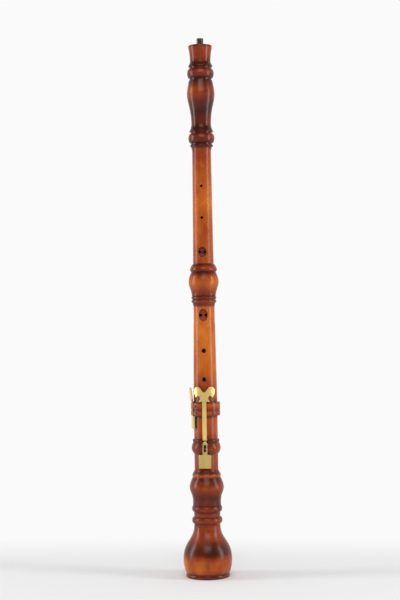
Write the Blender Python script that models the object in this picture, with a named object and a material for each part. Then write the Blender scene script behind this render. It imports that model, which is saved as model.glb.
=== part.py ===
"""Baroque oboe d'amore with two keys, standing on its bulb bell.

Three turned boxwood joints with lapped tenons, a black crook socket, an articulated great key and an
E flat key. Metres, +Z up. The origin is the centre of the bell's foot, and the finger holes face -Y.
"""

import math

import bmesh
import bpy
from mathutils import Matrix

# Facets and clearances
TURNED_STEPS = 28
SMALL_STEPS = 16
SEAT_GAP = 0.0003
KEY_SIDE_GAP = 0.0006
KEY_FLOOR_GAP = 0.0005
SOCKET_GAP = 0.0004

# Lengths of the three joints, each from its shoulder to its top face
BELL_HEIGHT = 0.1260
MIDDLE_LENGTH = 0.2417
TOP_LENGTH = 0.2567

# Tenons and their thread lapping
MIDDLE_TENON_LENGTH = 0.0230
MIDDLE_TENON_RADIUS = 0.0115
TOP_TENON_LENGTH = 0.0260
TOP_TENON_RADIUS = 0.0099
TENON_COLLAR = 0.0030
LAPPING_DEPTH = 0.0010
LAPPING_PROUD = 0.0001
LAPPING_RIDGE = 0.0002
LAPPING_RIDGES = 3
SOCKET_END_GAP = 0.0005

# Bore, a slow cone from the crook to the bell
BORE_TOP_RADIUS = 0.0033
TOP_BORE_END_RADIUS = 0.0064
MIDDLE_BORE_START_RADIUS = 0.0066
MIDDLE_BORE_END_RADIUS = 0.0093
BELL_BORE_RADIUS = 0.0098

# Crook socket
CROOK_SOCKET_RADIUS = 0.0040
CROOK_SOCKET_BORE = 0.0032
CROOK_SOCKET_DEPTH = 0.0200
CROOK_SOCKET_STAND = 0.0084
CROOK_SOCKET_EDGE = 0.0006

# Top joint: radii, and depths below its top face
EDGE_ROUND = 0.0006
FINIAL_RIM_RADIUS = 0.0139
FINIAL_RIM_HEIGHT = 0.0026
FINIAL_NECK_RADIUS = 0.0121
FINIAL_NECK_DEPTH = 0.0190
FINIAL_EDGE_RADIUS = 0.0143
FINIAL_EDGE_DEPTH = 0.0242
FILLET_HEIGHT = 0.0007
FINIAL_BEAD_RADIUS = 0.0157
FINIAL_BEAD_DEPTH = 0.0330
FINIAL_BEAD_HALF = 0.0058
FINIAL_GROOVE_RADIUS = 0.0128
BALUSTER_TOP_RADIUS = 0.0138
BALUSTER_TOP_DEPTH = 0.0410
BALUSTER_RADIUS = 0.0163
BALUSTER_DEPTH = 0.0566
BALUSTER_WAIST_RADIUS = 0.0116
BALUSTER_WAIST_DEPTH = 0.0925
COLLAR_EDGE_RADIUS = 0.0141
COLLAR_EDGE_DEPTH = 0.1010
COLLAR_BEAD_RADIUS = 0.0154
COLLAR_BEAD_DEPTH = 0.1093
COLLAR_BEAD_HALF = 0.0058
COLLAR_GROOVE_RADIUS = 0.0123
ASTRAGAL_RADIUS = 0.0136
ASTRAGAL_DEPTH = 0.1180
ASTRAGAL_HALF = 0.0014
TOP_TUBE_START_DEPTH = 0.1260
TOP_TUBE_START_RADIUS = 0.0111
TOP_TUBE_END_RADIUS = 0.0121

# Middle joint, socket end: radii, and depths below its top face
SOCKET_RIM_RADIUS = 0.0124
SOCKET_RING_RADIUS = 0.0159
SOCKET_RING_DEPTH = 0.0069
SOCKET_GROOVE_RADIUS = 0.0144
SOCKET_GROOVE_DEPTH = 0.0097
SOCKET_BULB_RADIUS = 0.01775
SOCKET_BULB_DEPTH = 0.0210
SOCKET_NECK_RADIUS = 0.0142
SOCKET_NECK_DEPTH = 0.0375
TWIN_BEAD_RADIUS = 0.0147
TWIN_BEAD_DEPTH = 0.0420
TWIN_BEAD_HALF = 0.0018
TWIN_BEAD_FOOT_RADIUS = 0.0135
MIDDLE_WAIST_RADIUS = 0.01245
MIDDLE_WAIST_DEPTH = 0.0520
MIDDLE_WAIST_LENGTH = 0.0130
MIDDLE_TUBE_START_DEPTH = 0.0750
MIDDLE_TUBE_START_RADIUS = 0.0128

# Middle joint, key rings: radii, and heights above its shoulder
KEY_TUBE_RADIUS = 0.0140
DOUBLE_RING_RADIUS = 0.0172
DOUBLE_RING_HEIGHT = 0.0699
UPPER_RING_LENGTH = 0.0093
LOWER_RING_LENGTH = 0.0066
RING_GROOVE_WIDTH = 0.0010
RING_GROOVE_DEPTH = 0.0009
RING_ROUND = 0.0012
BULGE_RADIUS = 0.0171
BULGE_HEIGHT = 0.0251
BULGE_HALF = 0.0070
BULGE_TOP_RADIUS = 0.0151
TUBE_BEAD_RADIUS = 0.0158
TUBE_BEAD_HALF = 0.0021

# Bell: radii, and heights above its foot
BELL_RIM_RADIUS = 0.0141
BELL_RING_RADIUS = 0.0169
BELL_RING_HEIGHT = 0.1196
BELL_RING_HALF = 0.0020
BELL_RING_GROOVE = 0.0162
BELL_SWELL_RADIUS = 0.0202
BELL_SWELL_HEIGHT = 0.1055
BELL_FILLET_RADIUS = 0.0165
BELL_FILLET_HEIGHT = 0.0885
BELL_WAIST_RADIUS = 0.0154
UPPER_BEAD_RADIUS = 0.0178
UPPER_BEAD_HEIGHT = 0.0803
LOWER_BEAD_RADIUS = 0.0179
LOWER_BEAD_HEIGHT = 0.0667
BELL_BEAD_HALF = 0.0039
BULB_START_HEIGHT = 0.0615
BULB_RADIUS = 0.0287
BULB_HEIGHT = 0.0206
LIP_GROOVE_RADIUS = 0.0253
LIP_GROOVE_HEIGHT = 0.0042
LIP_RADIUS = 0.0259
LIP_HEIGHT = 0.0020
FOOT_RADIUS = 0.0246
BELL_MOUTH_RADIUS = 0.0160
BELL_MOUTH_LENGTH = 0.0060
BELL_CAVITY_RADIUS = 0.0222
BELL_CAVITY_HEIGHT = 0.0230
BELL_THROAT_HEIGHT = 0.0620

# Finger holes: radii, heights above the top joint's shoulder, and depths below the middle joint's top face
HOLE_1_RADIUS = 0.0016
HOLE_1_HEIGHT = 0.0907
HOLE_2_RADIUS = 0.00175
HOLE_2_HEIGHT = 0.0537
HOLE_3_RADIUS = 0.0013
HOLE_3_HEIGHT = 0.0135
HOLE_4_RADIUS = 0.00175
HOLE_4_DEPTH = 0.0603
HOLE_5_RADIUS = 0.0026
HOLE_5_DEPTH = 0.1020
HOLE_6_RADIUS = 0.00245
HOLE_6_DEPTH = 0.1356
TWIN_HOLE_SPACING = 0.0060
DISH_3_WIDTH = 0.0092
DISH_3_HEIGHT = 0.0112
DISH_4_WIDTH = 0.0100
DISH_4_HEIGHT = 0.0138
DISH_DEPTH = 0.0012

# Keys, shared: offsets are distances from the body's axis
PIN_RADIUS = 0.0006
PIN_HOLE_GAP = 0.0003
PIN_OFFSET = 0.0143
LUG_RADIUS = 0.0016
CHANNEL_FLOOR = 0.0133
PAD_THICKNESS = 0.0018
PAD_MARGIN = 0.0006
SPRING_THICKNESS = 0.0004
SPRING_WIDTH = 0.0030
SPRING_TIP_LIFT = 0.0008
RIVET_RADIUS = 0.0005
RIVET_DEPTH = 0.0006
TOUCH_RING_GAP = 0.0006

# Great key, touch lever
TOUCH_LIFT = 0.0020
TOUCH_THICKNESS = 0.0016
SHANK_WIDTH = 0.0050
SHANK_LIFT = 0.0010
SHANK_THICKNESS = 0.0022
NOSE_LENGTH = 0.0040
NOSE_THICKNESS = 0.0021
FISHTAIL_HEIGHT = 0.0178
FISHTAIL_HALF_WIDTH = 0.0120
LOBE_RADIUS = 0.0041
NOTCH_DEPTH = 0.0067
NOTCH_SPIKE = 0.0012
FISHTAIL_WAIST = 0.0048
FISHTAIL_BARB = 0.0067
CRESCENT_RADIUS = 0.0019
CRESCENT_HEIGHT = 0.0056
CRESCENT_OFFSET = 0.0070
WING_TIP_HEIGHT = 0.0060
WING_TIP_OFFSET = 0.0101
HOOK_WIDTH = 0.0022
HOOK_THICKNESS = 0.0011
HOOK_PLAY = 0.0005
TOUCH_RIVET_HEIGHT = 0.0085
TOUCH_SPRING_LENGTH = 0.0060
SPRING_END = 0.0016

# Great key, flap lever
FLAP_OPEN_ANGLE = math.radians(10.0)
FLAP_WIDTH = 0.0145
FLAP_LENGTH = 0.0156
FLAP_THICKNESS = 0.0016
FLAP_NECK_LENGTH = 0.0072
FORK_WIDTH = 0.0058
FORK_PRONG = 0.00145
FORK_ROOT = 0.0040
EYE_BAR_REACH = 0.0069
GREAT_SEAT_OFFSET = 0.0124
SEAT_MARGIN = 0.0006
GREAT_TONE_HOLE_RADIUS = 0.0040

# E flat key
E_FLAT_ANGLE = math.radians(-70.0)
E_FLAT_SHANK_WIDTH = 0.0040
E_FLAT_SHANK_THICKNESS = 0.0021
E_FLAT_SEAT_OFFSET = 0.0121
E_FLAT_FLAP_WIDTH = 0.0090
E_FLAT_FLAP_LENGTH = 0.0145
E_FLAT_FLAP_THICKNESS = 0.0016
E_FLAT_TOUCH_WIDTH = 0.0075
E_FLAT_TOUCH_LENGTH = 0.0168
E_FLAT_TOUCH_THICKNESS = 0.0013
E_FLAT_TOUCH_LIFT = 0.0024
E_FLAT_TOUCH_RISE = 0.0012
E_FLAT_RIVET_HEIGHT = 0.0120
E_FLAT_SPRING_LENGTH = 0.0108
E_FLAT_SPRING_TIP_LIFT = 0.0013
E_FLAT_TONE_HOLE_RADIUS = 0.0028

# Turns of a round rod that is made along +Z
ALONG_X = Matrix.Rotation(math.pi / 2, 3, "Y")
OUTWARD = Matrix.Rotation(math.pi / 2, 3, "X")

# Places that follow from the sizes above
MIDDLE_SHOULDER = BELL_HEIGHT + SEAT_GAP
TOP_SHOULDER = MIDDLE_SHOULDER + MIDDLE_LENGTH + SEAT_GAP
BELL_SOCKET_RADIUS = MIDDLE_TENON_RADIUS + SOCKET_GAP
BELL_SOCKET_FLOOR = MIDDLE_SHOULDER - MIDDLE_TENON_LENGTH - SOCKET_END_GAP
MIDDLE_SOCKET_RADIUS = TOP_TENON_RADIUS + SOCKET_GAP
MIDDLE_SOCKET_FLOOR = MIDDLE_LENGTH + SEAT_GAP - TOP_TENON_LENGTH - SOCKET_END_GAP
CROOK_WELL_RADIUS = CROOK_SOCKET_RADIUS + SEAT_GAP
CROOK_WELL_FLOOR = TOP_LENGTH - CROOK_SOCKET_DEPTH - SEAT_GAP
RING_TOP = DOUBLE_RING_HEIGHT + UPPER_RING_LENGTH
RING_FOOT = DOUBLE_RING_HEIGHT - LOWER_RING_LENGTH
HALF_GROOVE = RING_GROOVE_WIDTH / 2
TOUCH_PIN_HEIGHT = MIDDLE_SHOULDER + (DOUBLE_RING_HEIGHT - HALF_GROOVE + RING_FOOT) / 2
E_FLAT_PIN_HEIGHT = MIDDLE_SHOULDER + (DOUBLE_RING_HEIGHT + HALF_GROOVE + RING_TOP) / 2
FLAP_PIN_HEIGHT = MIDDLE_SHOULDER + BULGE_HEIGHT
PIN_HOLE_RADIUS = PIN_RADIUS + PIN_HOLE_GAP
POCKET_FLOOR = PIN_OFFSET - LUG_RADIUS - KEY_FLOOR_GAP
POCKET_HALF = LUG_RADIUS + KEY_FLOOR_GAP
OUTSIDE = BULB_RADIUS + BELL_CAVITY_RADIUS
SHANK_LOW = KEY_TUBE_RADIUS + SHANK_LIFT
SHANK_HIGH = SHANK_LOW + SHANK_THICKNESS
TOUCH_LOW = KEY_TUBE_RADIUS + TOUCH_LIFT
TOUCH_HIGH = TOUCH_LOW + TOUCH_THICKNESS
TOUCH_BASE = MIDDLE_SHOULDER + RING_TOP + TOUCH_RING_GAP
FLAP_LOW = GREAT_SEAT_OFFSET + PAD_THICKNESS + 2 * SEAT_GAP
FLAP_HIGH = FLAP_LOW + FLAP_THICKNESS
EYE_BAR_RADIUS = FLAP_THICKNESS / 2
E_FLAT_LOW = E_FLAT_SEAT_OFFSET + PAD_THICKNESS + 2 * SEAT_GAP
E_FLAT_FLAP_TOP = MIDDLE_SHOULDER + RING_FOOT - TOUCH_RING_GAP

# The eye's bar: from the flap lever's pin when closed, and in the world at rest, with the flap open
BAR_RISE = FLAP_LOW + EYE_BAR_RADIUS - PIN_OFFSET
BAR_HEIGHT = (FLAP_PIN_HEIGHT + EYE_BAR_REACH * math.cos(FLAP_OPEN_ANGLE)
              + BAR_RISE * math.sin(FLAP_OPEN_ANGLE))
BAR_OFFSET = (PIN_OFFSET + BAR_RISE * math.cos(FLAP_OPEN_ANGLE)
              - EYE_BAR_REACH * math.sin(FLAP_OPEN_ANGLE))
HOOK_TOP = BAR_OFFSET - EYE_BAR_RADIUS - SEAT_GAP
HOOK_BOTTOM = HOOK_TOP - HOOK_THICKNESS
HOOK_LIP = BAR_OFFSET + EYE_BAR_RADIUS + SEAT_GAP
NOSE_END = BAR_HEIGHT + EYE_BAR_RADIUS + 2 * HOOK_PLAY
LOWER_CHANNEL_FLOOR = HOOK_BOTTOM - SEAT_GAP


class Outline:
    """Half section of a turned piece as (radius, height) points: down the outside, then up the bore."""

    def __init__(self, radius, height):
        self.points = [(radius, height)]

    def line(self, radius, height):
        self.points.append((radius, height))

    def bend(self, corners, steps):
        """A Bezier curve from the last point through its control corners."""
        frame = [self.points[-1]] + corners
        for step in range(1, steps + 1):
            t = step / steps
            level = frame
            while len(level) > 1:
                level = [((1 - t) * a[0] + t * b[0], (1 - t) * a[1] + t * b[1])
                         for a, b in zip(level, level[1:])]
            self.points.append(level[0])

    def wave(self, radius, height, steps, leave=0.36, arrive=0.36):
        """An S curve that runs along the axis at both ends."""
        start_radius, start_height = self.points[-1]
        drop = height - start_height
        self.bend([(start_radius, start_height + leave * drop), (radius, height - arrive * drop),
                   (radius, height)], steps)

    def flare(self, radius, height, steps, corner=0.5):
        """A curve that leaves along the axis."""
        start_radius, start_height = self.points[-1]
        self.bend([(start_radius, start_height + corner * (height - start_height)), (radius, height)], steps)

    def arch(self, radius, height, steps, corner=0.5):
        """A curve that arrives along the axis."""
        start_height = self.points[-1][1]
        self.bend([(radius, start_height + corner * (height - start_height)), (radius, height)], steps)

    def bead(self, foot_radius, crest_radius, height, half, steps):
        """A half round ridge between two feet of one radius."""
        self.line(foot_radius, height + half)
        for step in range(1, 2 * steps):
            angle = math.pi * step / (2 * steps)
            self.line(foot_radius + (crest_radius - foot_radius) * math.sin(angle), height + half * math.cos(angle))
        self.line(foot_radius, height - half)

    def tenon(self, radius, length, bore_radius):
        """Two collars with a recess for the lapping between them, hanging below the shoulder."""
        recess = radius - LAPPING_DEPTH
        self.line(radius, 0)
        self.line(radius, -TENON_COLLAR)
        self.line(recess, -TENON_COLLAR)
        self.line(recess, TENON_COLLAR - length)
        self.line(radius, TENON_COLLAR - length)
        self.line(radius, -length)
        self.line(bore_radius, -length)


def brass():
    return material("brass", (0.78, 0.57, 0.26), 0.28, 1.0)


def material(name, colour, roughness, metallic=0.0):
    made = bpy.data.materials.get(name) or bpy.data.materials.new(name)
    made.use_nodes = True
    shader = made.node_tree.nodes["Principled BSDF"]
    shader.inputs["Base Color"].default_value = (*colour, 1.0)
    shader.inputs["Roughness"].default_value = roughness
    shader.inputs["Metallic"].default_value = metallic
    return made


def add_object(name, mesh_builder, surface=None, parent=None, place=(0, 0, 0), turn=(0, 0, 0)):
    """Puts a bmesh into the scene as one closed, outward facing object."""
    bmesh.ops.recalc_face_normals(mesh_builder, faces=mesh_builder.faces)
    mesh = bpy.data.meshes.new(name)
    mesh_builder.to_mesh(mesh)
    mesh_builder.free()
    mesh.shade_smooth()
    mesh.set_sharp_from_angle(angle=math.radians(30))
    if surface:
        mesh.materials.append(surface)
    made = bpy.data.objects.new(name, mesh)
    bpy.context.scene.collection.objects.link(made)
    made.parent = parent
    made.location = place
    made.rotation_euler = turn
    return made


def add_empty(name, parent=None, place=(0, 0, 0), turn=(0, 0, 0)):
    made = bpy.data.objects.new(name, None)
    bpy.context.scene.collection.objects.link(made)
    made.parent = parent
    made.location = place
    made.rotation_euler = turn
    return made


def turned_mesh(outline, steps=TURNED_STEPS):
    """Spins a closed outline about the axis."""
    builder = bmesh.new()
    ring = [builder.verts.new((radius, 0, height)) for radius, height in outline.points]
    edges = [builder.edges.new(pair) for pair in zip(ring, ring[1:] + ring[:1])]
    bmesh.ops.spin(builder, geom=ring + edges, cent=(0, 0, 0), axis=(0, 0, 1), angle=math.tau, steps=steps,
                   use_merge=True)
    return builder


def prism_mesh(corners, sweep):
    """Extrudes a flat outline of 3-D corners by the vector sweep."""
    builder = bmesh.new()
    face = builder.faces.new([builder.verts.new(corner) for corner in corners])
    made = bmesh.ops.extrude_face_region(builder, geom=[face])["geom"]
    moved = [item for item in made if isinstance(item, bmesh.types.BMVert)]
    bmesh.ops.translate(builder, verts=moved, vec=sweep)
    return builder


def side_prism(section, width):
    """A section of (offset, height) points in the key's plane, centred across it."""
    corners = [(-width / 2, -offset, height) for offset, height in section]
    return prism_mesh(corners, (width, 0, 0))


def front_prism(outline, near, far):
    """An outline of (across, height) points seen from the front, between two offsets."""
    corners = [(across, -near, height) for across, height in outline]
    return prism_mesh(corners, (0, near - far, 0))


def rectangle(half_width, low, high):
    return [(-half_width, low), (half_width, low), (half_width, high), (-half_width, high)]


def box_section(near, far, low, high):
    return [(near, low), (far, low), (far, high), (near, high)]


def rod_mesh(radius, start, length, turn, steps=SMALL_STEPS):
    """A round rod from start to start + length, turned from +Z by ALONG_X or OUTWARD."""
    builder = bmesh.new()
    bmesh.ops.create_cone(builder, cap_ends=True, segments=steps, radius1=radius, radius2=radius, depth=length,
                          matrix=Matrix.Translation((0, 0, start + length / 2)))
    bmesh.ops.rotate(builder, cent=(0, 0, 0), matrix=turn, verts=builder.verts)
    return builder


def arc(centre, radius, start, end, steps):
    """Points on a circle, angles in degrees."""
    angles = [math.radians(start + (end - start) * step / steps) for step in range(steps + 1)]
    return [(centre[0] + radius * math.cos(a), centre[1] + radius * math.sin(a)) for a in angles]


def combine(target, other, operation):
    """Cuts, joins or limits target by another object, which stays as a hidden guide."""
    other.hide_render = True
    other.display_type = "WIRE"
    step = target.modifiers.new(operation.lower() + "_" + other.name, "BOOLEAN")
    step.operation = operation
    step.object = other
    step.solver = "EXACT"


def lapping(name, parent, radius, length):
    """Waxed thread wound in the tenon's recess."""
    inner = radius - LAPPING_DEPTH + SEAT_GAP
    outer = radius + LAPPING_PROUD
    top = -TENON_COLLAR - SEAT_GAP
    bottom = TENON_COLLAR + SEAT_GAP - length
    pitch = (top - bottom) / LAPPING_RIDGES
    outline = Outline(inner, top)
    for ridge in range(LAPPING_RIDGES):
        outline.line(outer - LAPPING_RIDGE, top - ridge * pitch)
        outline.line(outer, top - (ridge + 0.5) * pitch)
    outline.line(outer - LAPPING_RIDGE, bottom)
    outline.line(inner, bottom)
    return add_object(name, turned_mesh(outline), material("waxed_thread", (0.33, 0.05, 0.03), 0.8), parent)


def make_bell(wood):
    outline = Outline(BELL_SOCKET_RADIUS, BELL_HEIGHT)
    outline.line(BELL_RIM_RADIUS, BELL_HEIGHT)
    outline.wave(BELL_RING_RADIUS, BELL_RING_HEIGHT, 3, 0.3, 0.3)
    outline.flare(BELL_RING_GROOVE, BELL_RING_HEIGHT - BELL_RING_HALF, 1)
    outline.arch(BELL_SWELL_RADIUS, BELL_SWELL_HEIGHT, 4, 0.67)
    outline.wave(BELL_FILLET_RADIUS, BELL_FILLET_HEIGHT, 5, 0.35, 0.55)
    outline.line(BELL_FILLET_RADIUS, UPPER_BEAD_HEIGHT + BELL_BEAD_HALF)
    outline.bead(BELL_WAIST_RADIUS, UPPER_BEAD_RADIUS, UPPER_BEAD_HEIGHT, BELL_BEAD_HALF, 3)
    outline.bead(BELL_WAIST_RADIUS, LOWER_BEAD_RADIUS, LOWER_BEAD_HEIGHT, BELL_BEAD_HALF, 3)
    outline.line(BELL_WAIST_RADIUS, BULB_START_HEIGHT)
    outline.wave(BULB_RADIUS, BULB_HEIGHT, 9, 0.45, 0.53)
    outline.flare(LIP_GROOVE_RADIUS, LIP_GROOVE_HEIGHT, 4)
    outline.arch(LIP_RADIUS, LIP_HEIGHT, 1)
    outline.flare(FOOT_RADIUS, 0, 2, 0.8)
    outline.line(BELL_MOUTH_RADIUS + EDGE_ROUND, 0)
    outline.arch(BELL_MOUTH_RADIUS, EDGE_ROUND, 1)
    outline.line(BELL_MOUTH_RADIUS, BELL_MOUTH_LENGTH)
    outline.wave(BELL_CAVITY_RADIUS, BELL_CAVITY_HEIGHT, 4, 0.1, 0.6)
    outline.wave(BELL_BORE_RADIUS, BELL_THROAT_HEIGHT, 6, 0.5, 0.45)
    outline.line(BELL_BORE_RADIUS, BELL_SOCKET_FLOOR)
    outline.line(BELL_SOCKET_RADIUS, BELL_SOCKET_FLOOR)
    return add_object("bell", turned_mesh(outline), wood)


def make_middle_joint(wood):
    def below(depth):
        return MIDDLE_LENGTH - depth

    outline = Outline(MIDDLE_SOCKET_RADIUS, MIDDLE_LENGTH)
    outline.line(SOCKET_RIM_RADIUS, MIDDLE_LENGTH)
    outline.arch(SOCKET_RING_RADIUS, below(SOCKET_RING_DEPTH), 3, 0.6)
    outline.flare(SOCKET_GROOVE_RADIUS, below(SOCKET_GROOVE_DEPTH), 2)
    outline.arch(SOCKET_BULB_RADIUS, below(SOCKET_BULB_DEPTH), 4, 0.57)
    outline.wave(SOCKET_NECK_RADIUS, below(SOCKET_NECK_DEPTH), 5)
    for side in (1, -1):
        middle = below(TWIN_BEAD_DEPTH) + side * TWIN_BEAD_HALF
        outline.bead(TWIN_BEAD_FOOT_RADIUS, TWIN_BEAD_RADIUS, middle + side * SEAT_GAP, TWIN_BEAD_HALF, 2)
    outline.arch(MIDDLE_WAIST_RADIUS, below(MIDDLE_WAIST_DEPTH), 2)
    outline.line(MIDDLE_WAIST_RADIUS, below(MIDDLE_WAIST_DEPTH + MIDDLE_WAIST_LENGTH))
    outline.wave(MIDDLE_TUBE_START_RADIUS, below(MIDDLE_TUBE_START_DEPTH), 2)
    outline.line(KEY_TUBE_RADIUS, RING_TOP)
    outline.line(DOUBLE_RING_RADIUS - RING_ROUND, RING_TOP)
    outline.arch(DOUBLE_RING_RADIUS, RING_TOP - RING_ROUND, 2, 0)
    outline.line(DOUBLE_RING_RADIUS, DOUBLE_RING_HEIGHT + HALF_GROOVE)
    outline.line(DOUBLE_RING_RADIUS - RING_GROOVE_DEPTH, DOUBLE_RING_HEIGHT + HALF_GROOVE)
    outline.line(DOUBLE_RING_RADIUS - RING_GROOVE_DEPTH, DOUBLE_RING_HEIGHT - HALF_GROOVE)
    outline.line(DOUBLE_RING_RADIUS, DOUBLE_RING_HEIGHT - HALF_GROOVE)
    outline.line(DOUBLE_RING_RADIUS, RING_FOOT + RING_ROUND)
    outline.flare(DOUBLE_RING_RADIUS - RING_ROUND, RING_FOOT, 2, 1)
    outline.line(KEY_TUBE_RADIUS, RING_FOOT)
    bulge_top = BULGE_HEIGHT + BULGE_HALF
    outline.line(KEY_TUBE_RADIUS, bulge_top + 2 * TUBE_BEAD_HALF)
    outline.arch(TUBE_BEAD_RADIUS, bulge_top + TUBE_BEAD_HALF, 2, 0.3)
    outline.flare(BULGE_TOP_RADIUS, bulge_top, 2, 0.7)
    outline.arch(BULGE_RADIUS, BULGE_HEIGHT, 3)
    outline.flare(KEY_TUBE_RADIUS, BULGE_HEIGHT - BULGE_HALF, 3)
    outline.line(KEY_TUBE_RADIUS, 0)
    outline.tenon(MIDDLE_TENON_RADIUS, MIDDLE_TENON_LENGTH, MIDDLE_BORE_END_RADIUS)
    outline.line(MIDDLE_BORE_START_RADIUS, MIDDLE_SOCKET_FLOOR)
    outline.line(MIDDLE_SOCKET_RADIUS, MIDDLE_SOCKET_FLOOR)
    joint = add_object("middle_joint", turned_mesh(outline), wood, place=(0, 0, MIDDLE_SHOULDER))
    dish_finger_holes(joint, "dish_4", MIDDLE_WAIST_RADIUS, below(HOLE_4_DEPTH), DISH_4_WIDTH, DISH_4_HEIGHT)
    drill_pair(joint, "hole_4", below(HOLE_4_DEPTH), HOLE_4_RADIUS)
    drill(joint, "hole_5", below(HOLE_5_DEPTH), HOLE_5_RADIUS)
    drill(joint, "hole_6", below(HOLE_6_DEPTH), HOLE_6_RADIUS)
    return joint


def make_top_joint(wood):
    def below(depth):
        return TOP_LENGTH - depth

    outline = Outline(CROOK_WELL_RADIUS, TOP_LENGTH)
    outline.line(FINIAL_RIM_RADIUS - EDGE_ROUND, TOP_LENGTH)
    outline.arch(FINIAL_RIM_RADIUS, below(EDGE_ROUND), 1)
    outline.line(FINIAL_RIM_RADIUS, below(FINIAL_RIM_HEIGHT))
    outline.arch(FINIAL_NECK_RADIUS, below(FINIAL_NECK_DEPTH), 4)
    outline.flare(FINIAL_EDGE_RADIUS, below(FINIAL_EDGE_DEPTH), 2, 0.25)
    outline.line(FINIAL_EDGE_RADIUS, below(FINIAL_EDGE_DEPTH + FILLET_HEIGHT))
    outline.line(FINIAL_GROOVE_RADIUS, below(FINIAL_EDGE_DEPTH + FILLET_HEIGHT))
    outline.bead(FINIAL_GROOVE_RADIUS, FINIAL_BEAD_RADIUS, below(FINIAL_BEAD_DEPTH), FINIAL_BEAD_HALF, 3)
    outline.line(FINIAL_GROOVE_RADIUS, below(BALUSTER_TOP_DEPTH))
    outline.line(BALUSTER_TOP_RADIUS, below(BALUSTER_TOP_DEPTH))
    outline.arch(BALUSTER_RADIUS, below(BALUSTER_DEPTH), 4, 0.75)
    outline.wave(BALUSTER_WAIST_RADIUS, below(BALUSTER_WAIST_DEPTH), 7, 0.30, 0.54)
    outline.flare(COLLAR_EDGE_RADIUS, below(COLLAR_EDGE_DEPTH), 4)
    outline.line(COLLAR_EDGE_RADIUS, below(COLLAR_EDGE_DEPTH + FILLET_HEIGHT))
    outline.line(COLLAR_GROOVE_RADIUS, below(COLLAR_EDGE_DEPTH + FILLET_HEIGHT))
    outline.bead(COLLAR_GROOVE_RADIUS, COLLAR_BEAD_RADIUS, below(COLLAR_BEAD_DEPTH), COLLAR_BEAD_HALF, 3)
    outline.bead(COLLAR_GROOVE_RADIUS, ASTRAGAL_RADIUS, below(ASTRAGAL_DEPTH), ASTRAGAL_HALF, 2)
    outline.arch(TOP_TUBE_START_RADIUS, below(TOP_TUBE_START_DEPTH), 3)
    outline.line(TOP_TUBE_END_RADIUS, 0)
    outline.tenon(TOP_TENON_RADIUS, TOP_TENON_LENGTH, TOP_BORE_END_RADIUS)
    outline.line(BORE_TOP_RADIUS, CROOK_WELL_FLOOR)
    outline.line(CROOK_WELL_RADIUS, CROOK_WELL_FLOOR)
    joint = add_object("top_joint", turned_mesh(outline), wood, place=(0, 0, TOP_SHOULDER))
    drill(joint, "hole_1", HOLE_1_HEIGHT, HOLE_1_RADIUS)
    drill(joint, "hole_2", HOLE_2_HEIGHT, HOLE_2_RADIUS)
    dish_finger_holes(joint, "dish_3", TOP_TUBE_END_RADIUS, HOLE_3_HEIGHT, DISH_3_WIDTH, DISH_3_HEIGHT)
    drill_pair(joint, "hole_3", HOLE_3_HEIGHT, HOLE_3_RADIUS)
    return joint


def drill(joint, name, height, radius, across=0.0, parent=None):
    """A finger or tone hole from the bore out through the front wall."""
    cutter = add_object(name, rod_mesh(radius, 0, OUTSIDE, OUTWARD), parent=parent or joint,
                        place=(across, 0, height))
    combine(joint, cutter, "DIFFERENCE")


def drill_pair(joint, name, height, radius):
    for side, label in ((-1, "_left"), (1, "_right")):
        drill(joint, name + label, height, radius, side * TWIN_HOLE_SPACING / 2)


def dish_finger_holes(joint, name, tube_radius, height, width, tall):
    """Scoops an oval hollow, of the given width and height on the tube, round a pair of finger holes."""
    lift = DISH_DEPTH / 4
    reach = DISH_DEPTH + lift
    fall = tube_radius - math.sqrt(tube_radius ** 2 - (width / 2) ** 2)
    half_tall = (tall / 2) / math.sqrt(1 - (lift / reach) ** 2)
    half_wide = (width / 2) / math.sqrt(1 - (min(fall + lift, 0.9 * reach) / reach) ** 2)
    builder = bmesh.new()
    bmesh.ops.create_uvsphere(builder, u_segments=20, v_segments=10, radius=1)
    bmesh.ops.scale(builder, vec=(half_wide, reach, half_tall), verts=builder.verts)
    cutter = add_object(name, builder, parent=joint, place=(0, -tube_radius - lift, height))
    combine(joint, cutter, "DIFFERENCE")


def cut_channel(joint, name, parent, width, section):
    cutter = add_object(name, side_prism(section, width), parent=parent)
    combine(joint, cutter, "DIFFERENCE")


def cut_pin_hole(joint, name, parent, height):
    cutter = add_object(name, rod_mesh(PIN_HOLE_RADIUS, -OUTSIDE, 2 * OUTSIDE, ALONG_X), parent=parent,
                        place=(0, -PIN_OFFSET, height))
    combine(joint, cutter, "DIFFERENCE")


def cut_seat(joint, name, parent, offset, low, high):
    """A flat on the tube for a pad to close on."""
    cutter = add_object(name, side_prism(box_section(offset, OUTSIDE, low, high), OUTSIDE), parent=parent)
    combine(joint, cutter, "DIFFERENCE")


def add_pin(name, parent, height, ring_radius):
    """A pivot pin whose ends stop inside the ring's facets."""
    flat = ring_radius * math.cos(math.pi / TURNED_STEPS)
    reach = math.sqrt(flat ** 2 - (PIN_OFFSET + PIN_RADIUS) ** 2)
    return add_object(name, rod_mesh(PIN_RADIUS, -reach, 2 * reach, ALONG_X),
                      material("steel_pin", (0.45, 0.42, 0.38), 0.35, 1.0), parent, (0, -PIN_OFFSET, height))


def channel_section(low, high, floor, pin):
    """Side section of a channel with a deeper pocket under the pivot."""
    return [(OUTSIDE, low), (floor, low), (floor, pin - POCKET_HALF), (POCKET_FLOOR, pin - POCKET_HALF),
            (POCKET_FLOOR, pin + POCKET_HALF), (floor, pin + POCKET_HALF), (floor, high), (OUTSIDE, high)]


def around_pin(section, pin):
    """Moves a section of (offset, height) points to a key's own origin on its pin."""
    return [(offset - PIN_OFFSET, height - pin) for offset, height in section]


def lug(low):
    """The round boss below a key at its pin, from above the pin to below it, in the key's own frame."""
    start = math.degrees(math.acos(max(-0.9, min(0.9, low / LUG_RADIUS))))
    return arc((0, 0), LUG_RADIUS, start, 360 - start, 8)


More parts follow.
